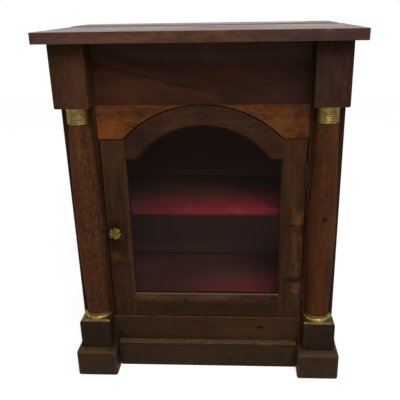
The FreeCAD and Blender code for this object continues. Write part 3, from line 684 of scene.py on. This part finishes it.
DOOR_MARKS = {
    "door_right_stile": (
        StainAndPaintedLight((0.222, DOOR_FRONT, 0.40), (0.03, 0.03, 0.30), (66, 41, 22), 0.4),
        StainAndPaintedLight((0.238, DOOR_FRONT, 0.434), (0.013, 0.03, 0.022), (98, 64, 35), 0.85, 0.6),
        StainAndPaintedLight((0.224, DOOR_FRONT, 0.445), (0.007, 0.03, 0.05), (84, 54, 29), 0.7, 0.6),
        StainAndPaintedLight((0.227, DOOR_FRONT, 0.365), (0.008, 0.03, 0.05), (94, 61, 33), 0.75, 0.6),
        StainAndPaintedLight((0.240, DOOR_FRONT, 0.380), (0.006, 0.03, 0.03), (86, 55, 30), 0.7, 0.6),
        StainAndPaintedLight((0.234, DOOR_FRONT, 0.295), (0.010, 0.03, 0.045), (96, 62, 33), 0.8, 0.6),
        StainAndPaintedLight((0.221, DOOR_FRONT, 0.285), (0.005, 0.03, 0.03), (80, 51, 28), 0.6, 0.6),
        StainAndPaintedLight((0.235, DOOR_FRONT, 0.236), (0.012, 0.03, 0.026), (102, 65, 33), 0.85, 0.6),
        StainAndPaintedLight((0.246, DOOR_FRONT, 0.412), (0.016, 0.03, 0.014), (18, 11, 7), 0.95, 0.5),
        StainAndPaintedLight((0.218, DOOR_FRONT, 0.415), (0.022, 0.03, 0.005), (28, 14, 9), 0.8, 0.5),
        StainAndPaintedLight((0.230, DOOR_FRONT, 0.262), (0.034, 0.03, 0.010), (28, 18, 11), 0.8, 0.5),
        StainAndPaintedLight((0.197, DOOR_FRONT, 0.36), (0.008, 0.03, 0.1), (42, 26, 20)),
    ),
    "door_left_stile": (
        StainAndPaintedLight((-0.222, DOOR_FRONT, 0.580), (0.04, 0.03, 0.10), (68, 43, 25)),
        StainAndPaintedLight((-0.211, DOOR_FRONT, 0.516), (0.007, 0.03, 0.04), (28, 18, 12), 0.7),
        StainAndPaintedLight((-0.230, DOOR_FRONT, 0.325), (0.018, 0.03, 0.018), (80, 53, 32), 0.7),
        StainAndPaintedLight((-0.228, DOOR_FRONT, 0.418), (0.024, 0.03, 0.018), (28, 18, 12), 0.5),
        StainAndPaintedLight((-0.226, DOOR_FRONT, 0.352), (0.026, 0.03, 0.026), (30, 19, 12), 0.5),
        StainAndPaintedLight((-0.220, DOOR_FRONT, 0.306), (0.045, 0.03, 0.012), (34, 22, 15), 0.45),
    ),
    "door_bottom_rail": (
        StainAndPaintedLight((-0.155, DOOR_FRONT, 0.203), (0.06, 0.02, 0.008), (90, 60, 36), 0.6, 0.6),
        StainAndPaintedLight((0.025, DOOR_FRONT, 0.203), (0.06, 0.02, 0.008), (88, 59, 36), 0.6, 0.6),
        StainAndPaintedLight((0.120, DOOR_FRONT, 0.203), (0.06, 0.02, 0.012), (40, 28, 19)),
        # A thin light line along the top edge of the bevel: a rubbed edge with a painted highlight on it
        StainAndPaintedLight((0.0, DOOR_FRONT, 0.2108), (0.6, 0.05, 0.0016), (122, 96, 74), 0.8, 0.0),
        StainAndPaintedLight((0.175, DOOR_FRONT, 0.203), (0.022, 0.02, 0.010), (24, 17, 11), 0.9),
        StainAndPaintedLight((-0.057, DOOR_FRONT, 0.197), (0.006, 0.02, 0.008), (22, 14, 8), 0.9),
    ),
    "door_arch_rail": (
        StainAndPaintedLight((-0.155, DOOR_FRONT, 0.640), (0.08, 0.03, 0.07), (38, 24, 17), 0.75),
        StainAndPaintedLight((0.155, DOOR_FRONT, 0.640), (0.06, 0.03, 0.06), (48, 29, 18), 0.5),
    ),
}
COLUMN_KNOTS = (
    StainAndPaintedLight((0.294, COLUMN_FRONT, 0.450), (0.007, 0.02, 0.009), (12, 7, 4), 1.0, 0.2),
    StainAndPaintedLight((0.295, COLUMN_FRONT, 0.517), (0.004, 0.02, 0.006), (24, 13, 7), 0.9, 0.2),
)
LEFT_BLOCK_MARKS = (
    StainAndPaintedLight((-0.275, BLOCK_FRONT, 0.800), (0.022, 0.05, 0.055), (82, 51, 31), 0.5),
    StainAndPaintedLight((-0.322, BLOCK_FRONT, 0.855), (0.035, 0.05, 0.035), (52, 35, 25)),
)
RIGHT_BLOCK_MARKS = (
    Vein((0.262, 0.880), (0.318, 0.765), 0.012, (66, 41, 31), 0.5, 0.004),
    Vein((0.288, 0.880), (0.330, 0.800), 0.007, (42, 27, 20), 0.5, 0.004),
)


@dataclass(frozen=True)
class EdgeWork:
    """How a board's arrises are finished and rubbed, how much painted top light its faces that look up take,
    and how much painted light and shade its slanted faces take.
    """

    width: float
    # Whether the bevelled arrises take the wood's colour of rubbed arrises
    wear_and_painted_light: bool
    shortest: float
    # Shares of painted light and shade on slanted faces and of painted top light on faces that look up
    painted_bevel_tone: float = 0.0
    painted_top_light: float = 0.0

    @property
    def rounded(self) -> bool:
        """Tells whether the board comes with round arrises of its own."""
        return self.width == 0.0


JOINT = EdgeWork(0.35 * MILLIMETRE, False, 6.0 * MILLIMETRE)
ARRIS = EdgeWork(1.2 * MILLIMETRE, True, 12.0 * MILLIMETRE)
FINE_ARRIS = EdgeWork(0.6 * MILLIMETRE, True, 12.0 * MILLIMETRE)
ROUND = EdgeWork(0.0, True, 0.0)
# Painted top light: faces that look up take the wood's third colour
ROUND_PAINTED_TOP_LIGHT = replace(ROUND, painted_top_light=1.0)
# Painted light on the slanted faces of a bevel, in the wood's third colour
BEVELLED_JOINT = replace(JOINT, painted_bevel_tone=0.35)
# Painted shade on the slanted faces of the arch's bevel, in the arch wood's dark third colour
ARCHED_JOINT = replace(JOINT, painted_bevel_tone=1.0)


def bare_copy(node: str) -> bmesh.types.BMesh:
    """Copies a solid's mesh with its triangles joined to whole faces.

    Args:
        node: the solid's name.

    Returns:
        The copy, to be freed by the caller.
    """
    work = bmesh.new()
    work.from_mesh(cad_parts[node].data)
    bmesh.ops.remove_doubles(work, verts=work.verts, dist=WELD)
    bmesh.ops.dissolve_limit(work, angle_limit=FLAT_ANGLE, verts=work.verts, edges=work.edges)
    return work


def soften(work: bmesh.types.BMesh, edges: EdgeWork) -> None:
    """Rounds a board's arrises and marks the rubbed ones, the faces that look up for painted top light and
    the slanted faces for painted light and shade.

    Args:
        work: the board's mesh.
        edges: how its arrises are finished.
    """
    wear_and_light_layer = work.faces.layers.float.new(WEAR_AND_PAINTED_LIGHT)
    if edges.rounded:
        for face in work.faces:
            face[wear_and_light_layer] = 1.0 if max(abs(part) for part in face.normal) < SQUARE_SHARE else 0.0
    else:
        sharp = [
            edge
            for edge in work.edges
            if len(edge.link_faces) == 2
            and edge.is_convex
            and edge.calc_face_angle() > SHARP_ANGLE
            and edge.calc_length() > edges.shortest
        ]
        made = bmesh.ops.bevel(
            work, geom=sharp, offset=edges.width, segments=2, profile=0.5, affect="EDGES", clamp_overlap=True
        )
        for face in made["faces"]:
            face[wear_and_light_layer] = float(edges.wear_and_painted_light)
    work.normal_update()
    # Painted top light on faces that look up and painted light and shade on slanted faces, in the same colour
    # as rubbed arrises
    for face in work.faces:
        if face.normal.z > SQUARE_SHARE:
            face[wear_and_light_layer] = max(face[wear_and_light_layer], edges.painted_top_light)
        elif -SQUARE_SHARE < face.normal.y < -SLANT_SHARE:
            face[wear_and_light_layer] = max(face[wear_and_light_layer], edges.painted_bevel_tone)


def shown(name: str, work: bmesh.types.BMesh) -> bpy.types.Object:
    """Turns a mesh into an object of the scene.

    Args:
        name: the piece's name.
        work: its mesh, which is freed.

    Returns:
        The object.
    """
    mesh = bpy.data.meshes.new(name)
    for edge in work.edges:
        edge.smooth = not (len(edge.link_faces) == 2 and edge.calc_face_angle() > SHARP_ANGLE)
    for face in work.faces:
        face.smooth = True
    work.to_mesh(mesh)
    work.free()
    if "custom_normal" in mesh.attributes:
        mesh.attributes.remove(mesh.attributes["custom_normal"])
    piece = bpy.data.objects.new(name, mesh)
    bpy.context.scene.collection.objects.link(piece)
    return piece


def stand_in(piece: bpy.types.Object, node: str, body: str, material: bpy.types.Material) -> None:
    """Lets a piece stand for a solid, on its body.

    Args:
        piece: the piece.
        node: the solid.
        body: the body that carries it.
        material: its finish.
    """
    piece.data.materials.append(material)
    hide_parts(node)
    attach(piece, body)
    LOG.info("%s stands for %s in %s", piece.name, node, material.name)


@dataclass
class Assembly:
    """A group of the cabinet's pieces on one body."""

    body: str = "carcass"

    def keep(self, node: str, material: bpy.types.Material) -> None:
        """Shows a solid as it is, in a new finish.

        Args:
            node: the solid's name.
            material: its finish.
        """
        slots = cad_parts[node].data.materials
        slots.clear()
        slots.append(material)
        LOG.info("%s keeps its shape in %s", node, material.name)

    def dress(self, node: str, material: bpy.types.Material, edges: EdgeWork) -> None:
        """Replaces a board by a copy with softened arrises.

        Args:
            node: the board's name.
            material: its finish.
            edges: how its arrises are finished.
        """
        work = bare_copy(node)
        soften(work, edges)
        piece = shown(f"{node}_dressed", work)
        smooth = piece.modifiers.new("even_shading", "WEIGHTED_NORMAL")
        smooth.keep_sharp = True
        stand_in(piece, node, self.body, material)


@dataclass
class Top(Assembly):
    """The top board and the strip behind it."""

    def build(self) -> None:
        """Dresses both boards."""
        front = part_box("top_board")[0].y
        marks = (
            StainAndPaintedLight((0.30, front, 0.886), (0.22, 0.03, 0.03), (60, 41, 32)),
            StainAndPaintedLight((-0.28, front, 0.888), (0.10, 0.03, 0.02), (84, 54, 48)),
            StainAndPaintedLight((-0.16, front, 0.884), (0.10, 0.03, 0.012), (92, 60, 38), 0.5),
            StainAndPaintedLight((0.14, front, 0.889), (0.05, 0.03, 0.012), (66, 44, 42)),
            StainAndPaintedLight((0.052, front, 0.897), (0.010, 0.006, 0.007), (128, 82, 46)),
            StainAndPaintedLight((0.270, front, 0.897), (0.012, 0.006, 0.007), (128, 82, 46)),
        )
        self.dress("top_board", TOP_WOOD.material("top_board", Grain.ACROSS, marks), ROUND)
        self.dress("top_back_strip", TOP_WOOD.material("top_back_strip", Grain.ACROSS), FINE_ARRIS)


@dataclass
class ColumnStack(Assembly):
    """One side's foot, pedestal, half-column with its brass, and block under the top."""

    side: str = "left"
    block_wood: WoodFinish = BLOCK_WOOD
    column_wood: WoodFinish = COLUMN_WOOD
    knots: tuple[Mark, ...] = ()
    figures: tuple[Mark, ...] = ()

    def build(self) -> None:
        """Dresses the stack from the foot up."""
        foot, pedestal, column, block = (
            f"{self.side}_{name}" for name in ("front_foot", "pedestal", "column", "frieze_block")
        )
        low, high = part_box(foot)
        inner = high.x if self.side == "left" else low.x
        # Painted shade: darker round the top back corner of the foot's inner side, next to the pedestal and
        # the plinth
        inner_painted_shade = StainAndPaintedLight((inner, high.y, high.z), (0.03, 0.07, 0.06), (30, 22, 15), 0.9)
        self.dress(foot, FOOT_WOOD.material(foot, Grain.ACROSS, (inner_painted_shade,)), ROUND_PAINTED_TOP_LIGHT)
        self.dress(pedestal, PEDESTAL_WOOD.material(pedestal, Grain.UPRIGHT), FINE_ARRIS)
        self.keep(column, self.column_wood.material(column, Grain.UPRIGHT, self.knots))
        self.dress(block, self.block_wood.material(block, Grain.UPRIGHT, self.figures), ARRIS)
        self.dress(f"{self.side}_base_plate", BRASS.material(), FINE_ARRIS)
        self.keep(f"{self.side}_base_ring", RING_BRASS.material())
        self.keep(f"{self.side}_capital", BRASS.material())


@dataclass
class FrontFrame(Assembly):
    """The fixed boards of the front: frieze, spandrels, stiles, lower rail and plinth."""

    def build(self) -> None:
        """Dresses the boards."""
        self.dress("frieze_board", FRIEZE_WOOD.material("frieze_board", Grain.ACROSS, FRIEZE_MARKS), JOINT)
        for node, marks in SPANDREL_MARKS.items():
            self.dress(node, SPANDREL_WOOD.material(node, Grain.ACROSS, marks), JOINT)
        for node, marks in STILE_MARKS.items():
            self.dress(node, STILE_WOOD.material(node, Grain.UPRIGHT, marks), JOINT)
        self.dress("lower_rail", RAIL_WOOD.material("lower_rail", Grain.ACROSS, RAIL_MARKS), ARRIS)
        self.dress("plinth_board", PLINTH_WOOD.material("plinth_board", Grain.ACROSS), ROUND_PAINTED_TOP_LIGHT)


@dataclass
class ClothStrip:
    """A strip of cloth laid along a path from the back of a board to its front."""

    name: str
    node: str
    rests_on: str
    half_width: float
    path: tuple[tuple[float, float], ...]
    cloth: ClothFinish
    # Depths where the painted shade starts and where it is darkest
    shade_depths: tuple[float, float]
    thickness: float = 1.1 * MILLIMETRE
    columns: int = 90
    step: float = 0.006
    unevenness: float = 0.5 * MILLIMETRE
    waves: Point = (17.0, 21.0, 21.0)
    finer_rate: float = 2.7
    finer_share: float = 0.5

    def length(self) -> float:
        """Returns the length of the path."""
        return sum(math.dist(first, last) for first, last in zip(self.path, self.path[1:]))

    def stations(self) -> list[tuple[float, float, Vector]]:
        """Divides the path into short steps.

        Returns:
            The places along the depth and height, each with the way out of the cloth.
        """
        found = []
        for first, last in zip(self.path, self.path[1:]):
            count = max(1, round(math.dist(first, last) / self.step))
            run = Vector((last[0] - first[0], last[1] - first[1])).normalized()
            outward = Vector((0.0, run.y, -run.x))
            for number in range(count):
                share = number / count
                deep = first[0] + (last[0] - first[0]) * share
                high = first[1] + (last[1] - first[1]) * share
                found.append((deep, high, outward))
        found.append((*self.path[-1], found[-1][2]))
        return found

    def build(self) -> None:
        work = bmesh.new()
        rows = []
        for deep, high, outward in self.stations():
            row = []
            for column in range(self.columns + 1):
                wide = self.half_width * (2.0 * column / self.columns - 1.0)
                place = Vector((wide, deep, high))
                spot = place * Vector(self.waves)
                finer = self.finer_share * noise.noise(spot * self.finer_rate)
                lift = self.unevenness * max(0.0, noise.noise(spot) + finer)
                row.append(work.verts.new(place + outward * lift))
            rows.append(row)
        for lower, upper in zip(rows, rows[1:]):
            for column in range(self.columns):
                work.faces.new((lower[column], lower[column + 1], upper[column + 1], upper[column]))
        bmesh.ops.recalc_face_normals(work, faces=work.faces)
        piece = shown(self.name, work)
        thick = piece.modifiers.new("thickness", "SOLIDIFY")
        thick.thickness = self.thickness
        thick.offset = 0.0
        stand_in(piece, self.node, "carcass", self.cloth.material(*self.shade_depths))


@dataclass
class Carcass(Assembly):
    """The sides, the back, the floor, the shelf and the cloth on them."""

    planks: int = 4
    cloth_gap: float = 0.75 * MILLIMETRE
    side_gap: float = 0.5 * MILLIMETRE
    # Depths where the painted shade on each cloth starts and where it is darkest
    shelf_shade_depths: tuple[float, float] = (-0.07, 0.085)
    floor_shade_depths: tuple[float, float] = (-0.05, 0.045)

    def build(self) -> None:
        """Dresses the boards and lays the cloth."""
        for side in ("left", "right"):
            for name, edges in (("side_board", JOINT), ("side_plinth", FINE_ARRIS)):
                node = f"{side}_{name}"
                grain = Grain.UPRIGHT if name == "side_board" else Grain.DEEP
                self.dress(node, SIDE_WOOD.material(node, grain), edges)
        for number in range(1, self.planks + 1):
            node = f"back_plank_{number}"
            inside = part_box(node)[0].y
            # The inside face is dark red-brown, with a lighter band across its lower part
            inside_tones = (
                StainAndPaintedLight((0.0, inside, 0.45), (9.0, 0.006, 9.0), (74, 27, 24), 1.0, 0.0),
                StainAndPaintedLight((0.0, inside, 0.27), (1.5, 0.006, 0.2), (129, 98, 88), 0.9, 0.0),
            )
            self.keep(node, BARE_WOOD.material(node, Grain.UPRIGHT, inside_tones))
        for node in ("back_top_rail", "floor_board", "shelf", "floor_cleats", "shelf_cleats", "top_cleats"):
            grain = Grain.DEEP if "cleats" in node else Grain.ACROSS
            self.keep(node, INNER_WOOD.material(node, grain))
        steel = STEEL.material()
        for node in ("back_nails", "cabinet_screws", "hinge_pins"):
            self.keep(node, steel)
        for hinge in ("lower", "upper"):
            self.keep(f"{hinge}_hinge_cabinet_leaf", steel)
        self.keep("latch_keeper", BRASS.material())
        self.lay_cloth()

    def lay_cloth(self) -> None:
        """Lays the red cloth on the shelf, round its front edge, and on the floor."""
        shelf_low, shelf_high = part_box("shelf")
        cloth_low, cloth_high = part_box("shelf_cloth")
        top = shelf_high.z + self.cloth_gap
        front = shelf_low.y - self.cloth_gap
        ClothStrip(
            "red_shelf_cloth",
            "shelf_cloth",
            "shelf",
            cloth_high.x - self.side_gap,
            (
                (cloth_high.y - self.side_gap, top),
                (shelf_low.y, top),
                (front, shelf_high.z),
                (front, cloth_low.z + self.side_gap),
            ),
            SHELF_CLOTH,
            self.shelf_shade_depths,
        ).build()
        floor_low, floor_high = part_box("floor_cloth")
        level = floor_low.z + self.cloth_gap
        ClothStrip(
            "red_floor_cloth",
            "floor_cloth",
            "floor_board",
            floor_high.x - self.side_gap,
            ((floor_high.y - self.side_gap, level), (floor_low.y + self.side_gap, level)),
            FLOOR_CLOTH,
            self.floor_shade_depths,
        ).build()


@dataclass
class Door(Assembly):
    """The glazed door: stiles, rails, glass, beads and its halves of the hinges."""

    body: str = "door"

    def build(self) -> None:
        """Dresses the door's pieces."""
        boards = (
            ("door_right_stile", DOOR_WOOD, Grain.UPRIGHT, BEVELLED_JOINT),
            ("door_left_stile", DOOR_WOOD, Grain.UPRIGHT, BEVELLED_JOINT),
            ("door_bottom_rail", SILL_WOOD, Grain.ACROSS, BEVELLED_JOINT),
            ("door_arch_rail", ARCH_WOOD, Grain.ACROSS, ARCHED_JOINT),
        )
        for node, wood, grain, edges in boards:
            self.dress(node, wood.material(node, grain, DOOR_MARKS[node]), edges)
        self.keep("door_glass", GLASS.material())
        for node in ("straight_glazing_beads", "arched_glazing_bead"):
            self.keep(node, INNER_WOOD.material(node, Grain.UPRIGHT))
        steel = STEEL.material()
        for node in ("lower_hinge_door_leaf", "upper_hinge_door_leaf", "door_hinge_screws"):
            self.keep(node, steel)
        self.keep("knob_rose", KNOB_BRASS.material())


@dataclass(frozen=True)
class Turn:
    """One ring of the knob: radius and depth behind the tip in millimetres, and the petals' share."""

    radius: float
    depth: float
    petal: float


@dataclass
class Latch(Assembly):
    """The flower-shaped knob with its spindle, tongue and nut."""

    body: str = "latch"
    petals: int = 8
    spokes: int = 96
    notch: float = 0.17
    furrow: float = 2.8 * MILLIMETRE
    lean: float = 0.35 * MILLIMETRE

    def turns(self) -> tuple[Turn, ...]:
        """Returns the knob's rings from the tip to the foot."""
        return (
            Turn(1.6, 0.0, 0.0), Turn(3.2, 0.7, 0.0), Turn(4.3, 2.2, 0.1), Turn(4.9, 3.6, 0.3),
            Turn(6.4, 3.4, 0.6), Turn(8.8, 2.7, 0.8), Turn(11.7, 2.9, 1.0), Turn(14.5, 4.2, 1.0),
            Turn(16.4, 6.0, 1.0), Turn(17.0, 7.6, 1.0), Turn(16.0, 9.0, 1.0), Turn(12.2, 9.9, 0.7),
            Turn(7.5, 10.8, 0.2), Turn(5.6, 13.0, 0.0), Turn(5.2, 19.0, 0.0), Turn(6.4, 23.0, 0.0),
            Turn(8.0, 26.3, 0.0),
        )

    def petal(self, angle: float) -> float:
        """Tells how near a spoke is to the middle of its petal.

        Args:
            angle: the spoke's angle in radians.

        Returns:
            1 in the middle of a petal and 0 between two.
        """
        # Two slow waves make the petals unequal
        uneven = angle + 0.12 * math.sin(2.0 * angle + 0.7) + 0.07 * math.sin(3.0 * angle + 2.1)
        return abs(math.cos(0.5 * self.petals * uneven))

    def ring(self, work: bmesh.types.BMesh, turn: Turn, middle: Vector) -> list[bmesh.types.BMVert]:
        """Makes one ring of the knob.

        Args:
            work: the knob's mesh.
            turn: the ring's sizes.
            middle: the knob's tip.

        Returns:
            The ring's points.
        """
        points = []
        for spoke in range(self.spokes):
            angle = 2.0 * math.pi * spoke / self.spokes
            open_share = 1.0 - self.petal(angle)
            radius = turn.radius * MILLIMETRE * (1.0 - self.notch * turn.petal * open_share**2)
            lean = self.lean * turn.petal * math.sin(3.0 * angle + 0.4)
            deep = turn.depth * MILLIMETRE + self.furrow * turn.petal * open_share**3 + lean
            offset = Vector((radius * math.cos(angle), deep, radius * math.sin(angle)))
            points.append(work.verts.new(middle + offset))
        return points

    def knob(self) -> bpy.types.Object:
        """Makes the flower-shaped knob.

        Returns:
            The knob.
        """
        low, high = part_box("knob")
        tip = Vector(((low.x + high.x) / 2.0, low.y, (low.z + high.z) / 2.0))
        work = bmesh.new()
        rings = [self.ring(work, turn, tip) for turn in self.turns()]
        for front, back in zip(rings, rings[1:]):
            for spoke in range(self.spokes):
                after = (spoke + 1) % self.spokes
                work.faces.new((front[spoke], back[spoke], back[after], front[after]))
        for ring in (rings[0], rings[-1]):
            work.faces.new(ring)
        bmesh.ops.recalc_face_normals(work, faces=work.faces)
        return shown("flower_knob", work)

    def build(self) -> None:
        """Dresses the latch."""
        stand_in(self.knob(), "knob", self.body, KNOB_BRASS.material())
        steel = STEEL.material()
        for node in ("knob_spindle", "latch_tongue", "latch_nut"):
            self.keep(node, steel)


@dataclass(frozen=True)
class Lamp:
    """A soft square lamp aimed at a point."""

    name: str
    place: Point
    aim: Point
    size: float
    power: float

    def hang(self) -> None:
        """Puts the lamp into the scene."""
        data = bpy.data.lights.new(self.name, "AREA")
        data.size = self.size
        data.energy = self.power
        lamp = bpy.data.objects.new(self.name, data)
        lamp.location = self.place
        lamp.rotation_euler = (Vector(self.aim) - Vector(self.place)).to_track_quat("-Z", "Y").to_euler()
        bpy.context.scene.collection.objects.link(lamp)


@dataclass
class Studio:
    """The pale floor, the soft light and the camera."""

    floor_size: float = 8.0
    floor_grey: float = 0.3
    floor_white: float = 0.82
    ambient: float = 0.5
    mirror_share: float = 0.13
    lamps: tuple[Lamp, ...] = (
        Lamp("key_lamp", (0.65, -1.95, 2.75), (0.0, -0.1, 0.45), 1.6, 62.0),
    )
    camera_place: Point = (0.08564, -1.25899, 0.94653)
    camera_pitch: float = -0.3179
    camera_yaw: float = -0.0486
    camera_roll: float = 0.0169
    lens: float = 43.742
    sensor: float = 36.0
    shift: tuple[float, float] = (-0.03983, -0.08616)

    def seen(self, paint: Paint) -> Socket:
        """Tells whether a ray shows the surroundings directly or in metal and glass.

        Args:
            paint: the tree that asks.

        Returns:
            1 for such a ray, otherwise 0.
        """
        path = paint.add("ShaderNodeLightPath").outputs
        mirrored = paint.sum("MAXIMUM", path["Is Glossy Ray"], path["Is Transmission Ray"])
        return paint.sum("MAXIMUM", path["Is Camera Ray"], mirrored)

    def dimmed(self, paint: Paint) -> Socket:
        """Tells how much of the surroundings a ray shows, which is little in a sharp mirror.

        Args:
            paint: the tree that asks.

        Returns:
            The share, from 0 to 1.
        """
        path = paint.add("ShaderNodeLightPath").outputs
        return paint.spread(path["Is Singular Ray"], 0.0, 1.0, 1.0, self.mirror_share)

    def lay_floor(self) -> None:
        """Lays the floor, which looks white but keeps the shadow."""
        half = self.floor_size / 2.0
        mesh = bpy.data.meshes.new("floor")
        corners = [(-half, -half, 0.0), (half, -half, 0.0), (half, half, 0.0), (-half, half, 0.0)]
        mesh.from_pydata(corners, [], [(0, 1, 2, 3)])
        paint = Paint.named("pale_floor")
        share = self.dimmed(paint)
        grey = paint.sum("MULTIPLY", share, self.floor_grey)
        matt = paint.step("ShaderNodeBsdfDiffuse", 0, {"Color": grey})
        visible = paint.sum("MULTIPLY", self.seen(paint), share)
        glow = paint.sum("MULTIPLY", visible, self.floor_white)
        white = paint.step("ShaderNodeEmission", 0, {"Strength": glow})
        mesh.materials.append(paint.end(paint.step("ShaderNodeAddShader", 0, {0: matt, 1: white})))
        floor = bpy.data.objects.new("floor", mesh)
        bpy.context.scene.collection.objects.link(floor)

    def light_world(self) -> None:
        """Lights the scene evenly and shows a white background."""
        world = bpy.data.worlds.new("studio")
        bpy.context.scene.world = world
        paint = Paint(world)
        strength = paint.spread(self.seen(paint), 0.0, 1.0, self.ambient, 1.0)
        glow = paint.sum("MULTIPLY", strength, self.dimmed(paint))
        back = paint.step("ShaderNodeBackground", 0, {"Color": (1.0, 1.0, 1.0, 1.0), "Strength": glow})
        output = paint.add("ShaderNodeOutputWorld")
        paint.feed(output.inputs["Surface"], back)

    def set_camera(self) -> None:
        """Puts the camera where the photograph was taken from."""
        level = math.cos(self.camera_pitch)
        aside = math.sin(self.camera_yaw) * level
        ahead = Vector((aside, math.cos(self.camera_yaw) * level, math.sin(self.camera_pitch)))
        right = Vector((math.cos(self.camera_yaw), -math.sin(self.camera_yaw), 0.0))
        down = ahead.cross(right)
        turned = math.cos(self.camera_roll) * right + math.sin(self.camera_roll) * down
        up = math.sin(self.camera_roll) * right - math.cos(self.camera_roll) * down
        data = bpy.data.cameras.new("camera")
        data.sensor_width = self.sensor
        data.lens = self.lens
        data.shift_x, data.shift_y = self.shift
        camera = bpy.data.objects.new("camera", data)
        turn = Matrix((turned, up, -ahead)).transposed().to_4x4()
        camera.matrix_world = Matrix.Translation(self.camera_place) @ turn
        bpy.context.scene.collection.objects.link(camera)
        bpy.context.scene.camera = camera

    def build(self) -> None:
        """Sets up the studio."""
        bpy.context.scene.view_settings.view_transform = "Standard"
        self.lay_floor()
        self.light_world()
        for lamp in self.lamps:
            lamp.hang()
        self.set_camera()


def main() -> None:
    """Builds the studio and dresses the cabinet's pieces."""
    logging.basicConfig(level=logging.INFO, format="%(name)s: %(message)s")
    assemblies = (
        Studio(),
        Top(),
        ColumnStack(
            side="left", block_wood=LIGHT_BLOCK_WOOD, column_wood=SPECKED_WOOD, figures=LEFT_BLOCK_MARKS
        ),
        ColumnStack(side="right", knots=COLUMN_KNOTS, figures=RIGHT_BLOCK_MARKS),
        FrontFrame(),
        Carcass(),
        Door(),
        Latch(),
    )
    for assembly in assemblies:
        LOG.info("building %s", type(assembly).__name__)
        assembly.build()


if __name__ == "__main__":
    main()
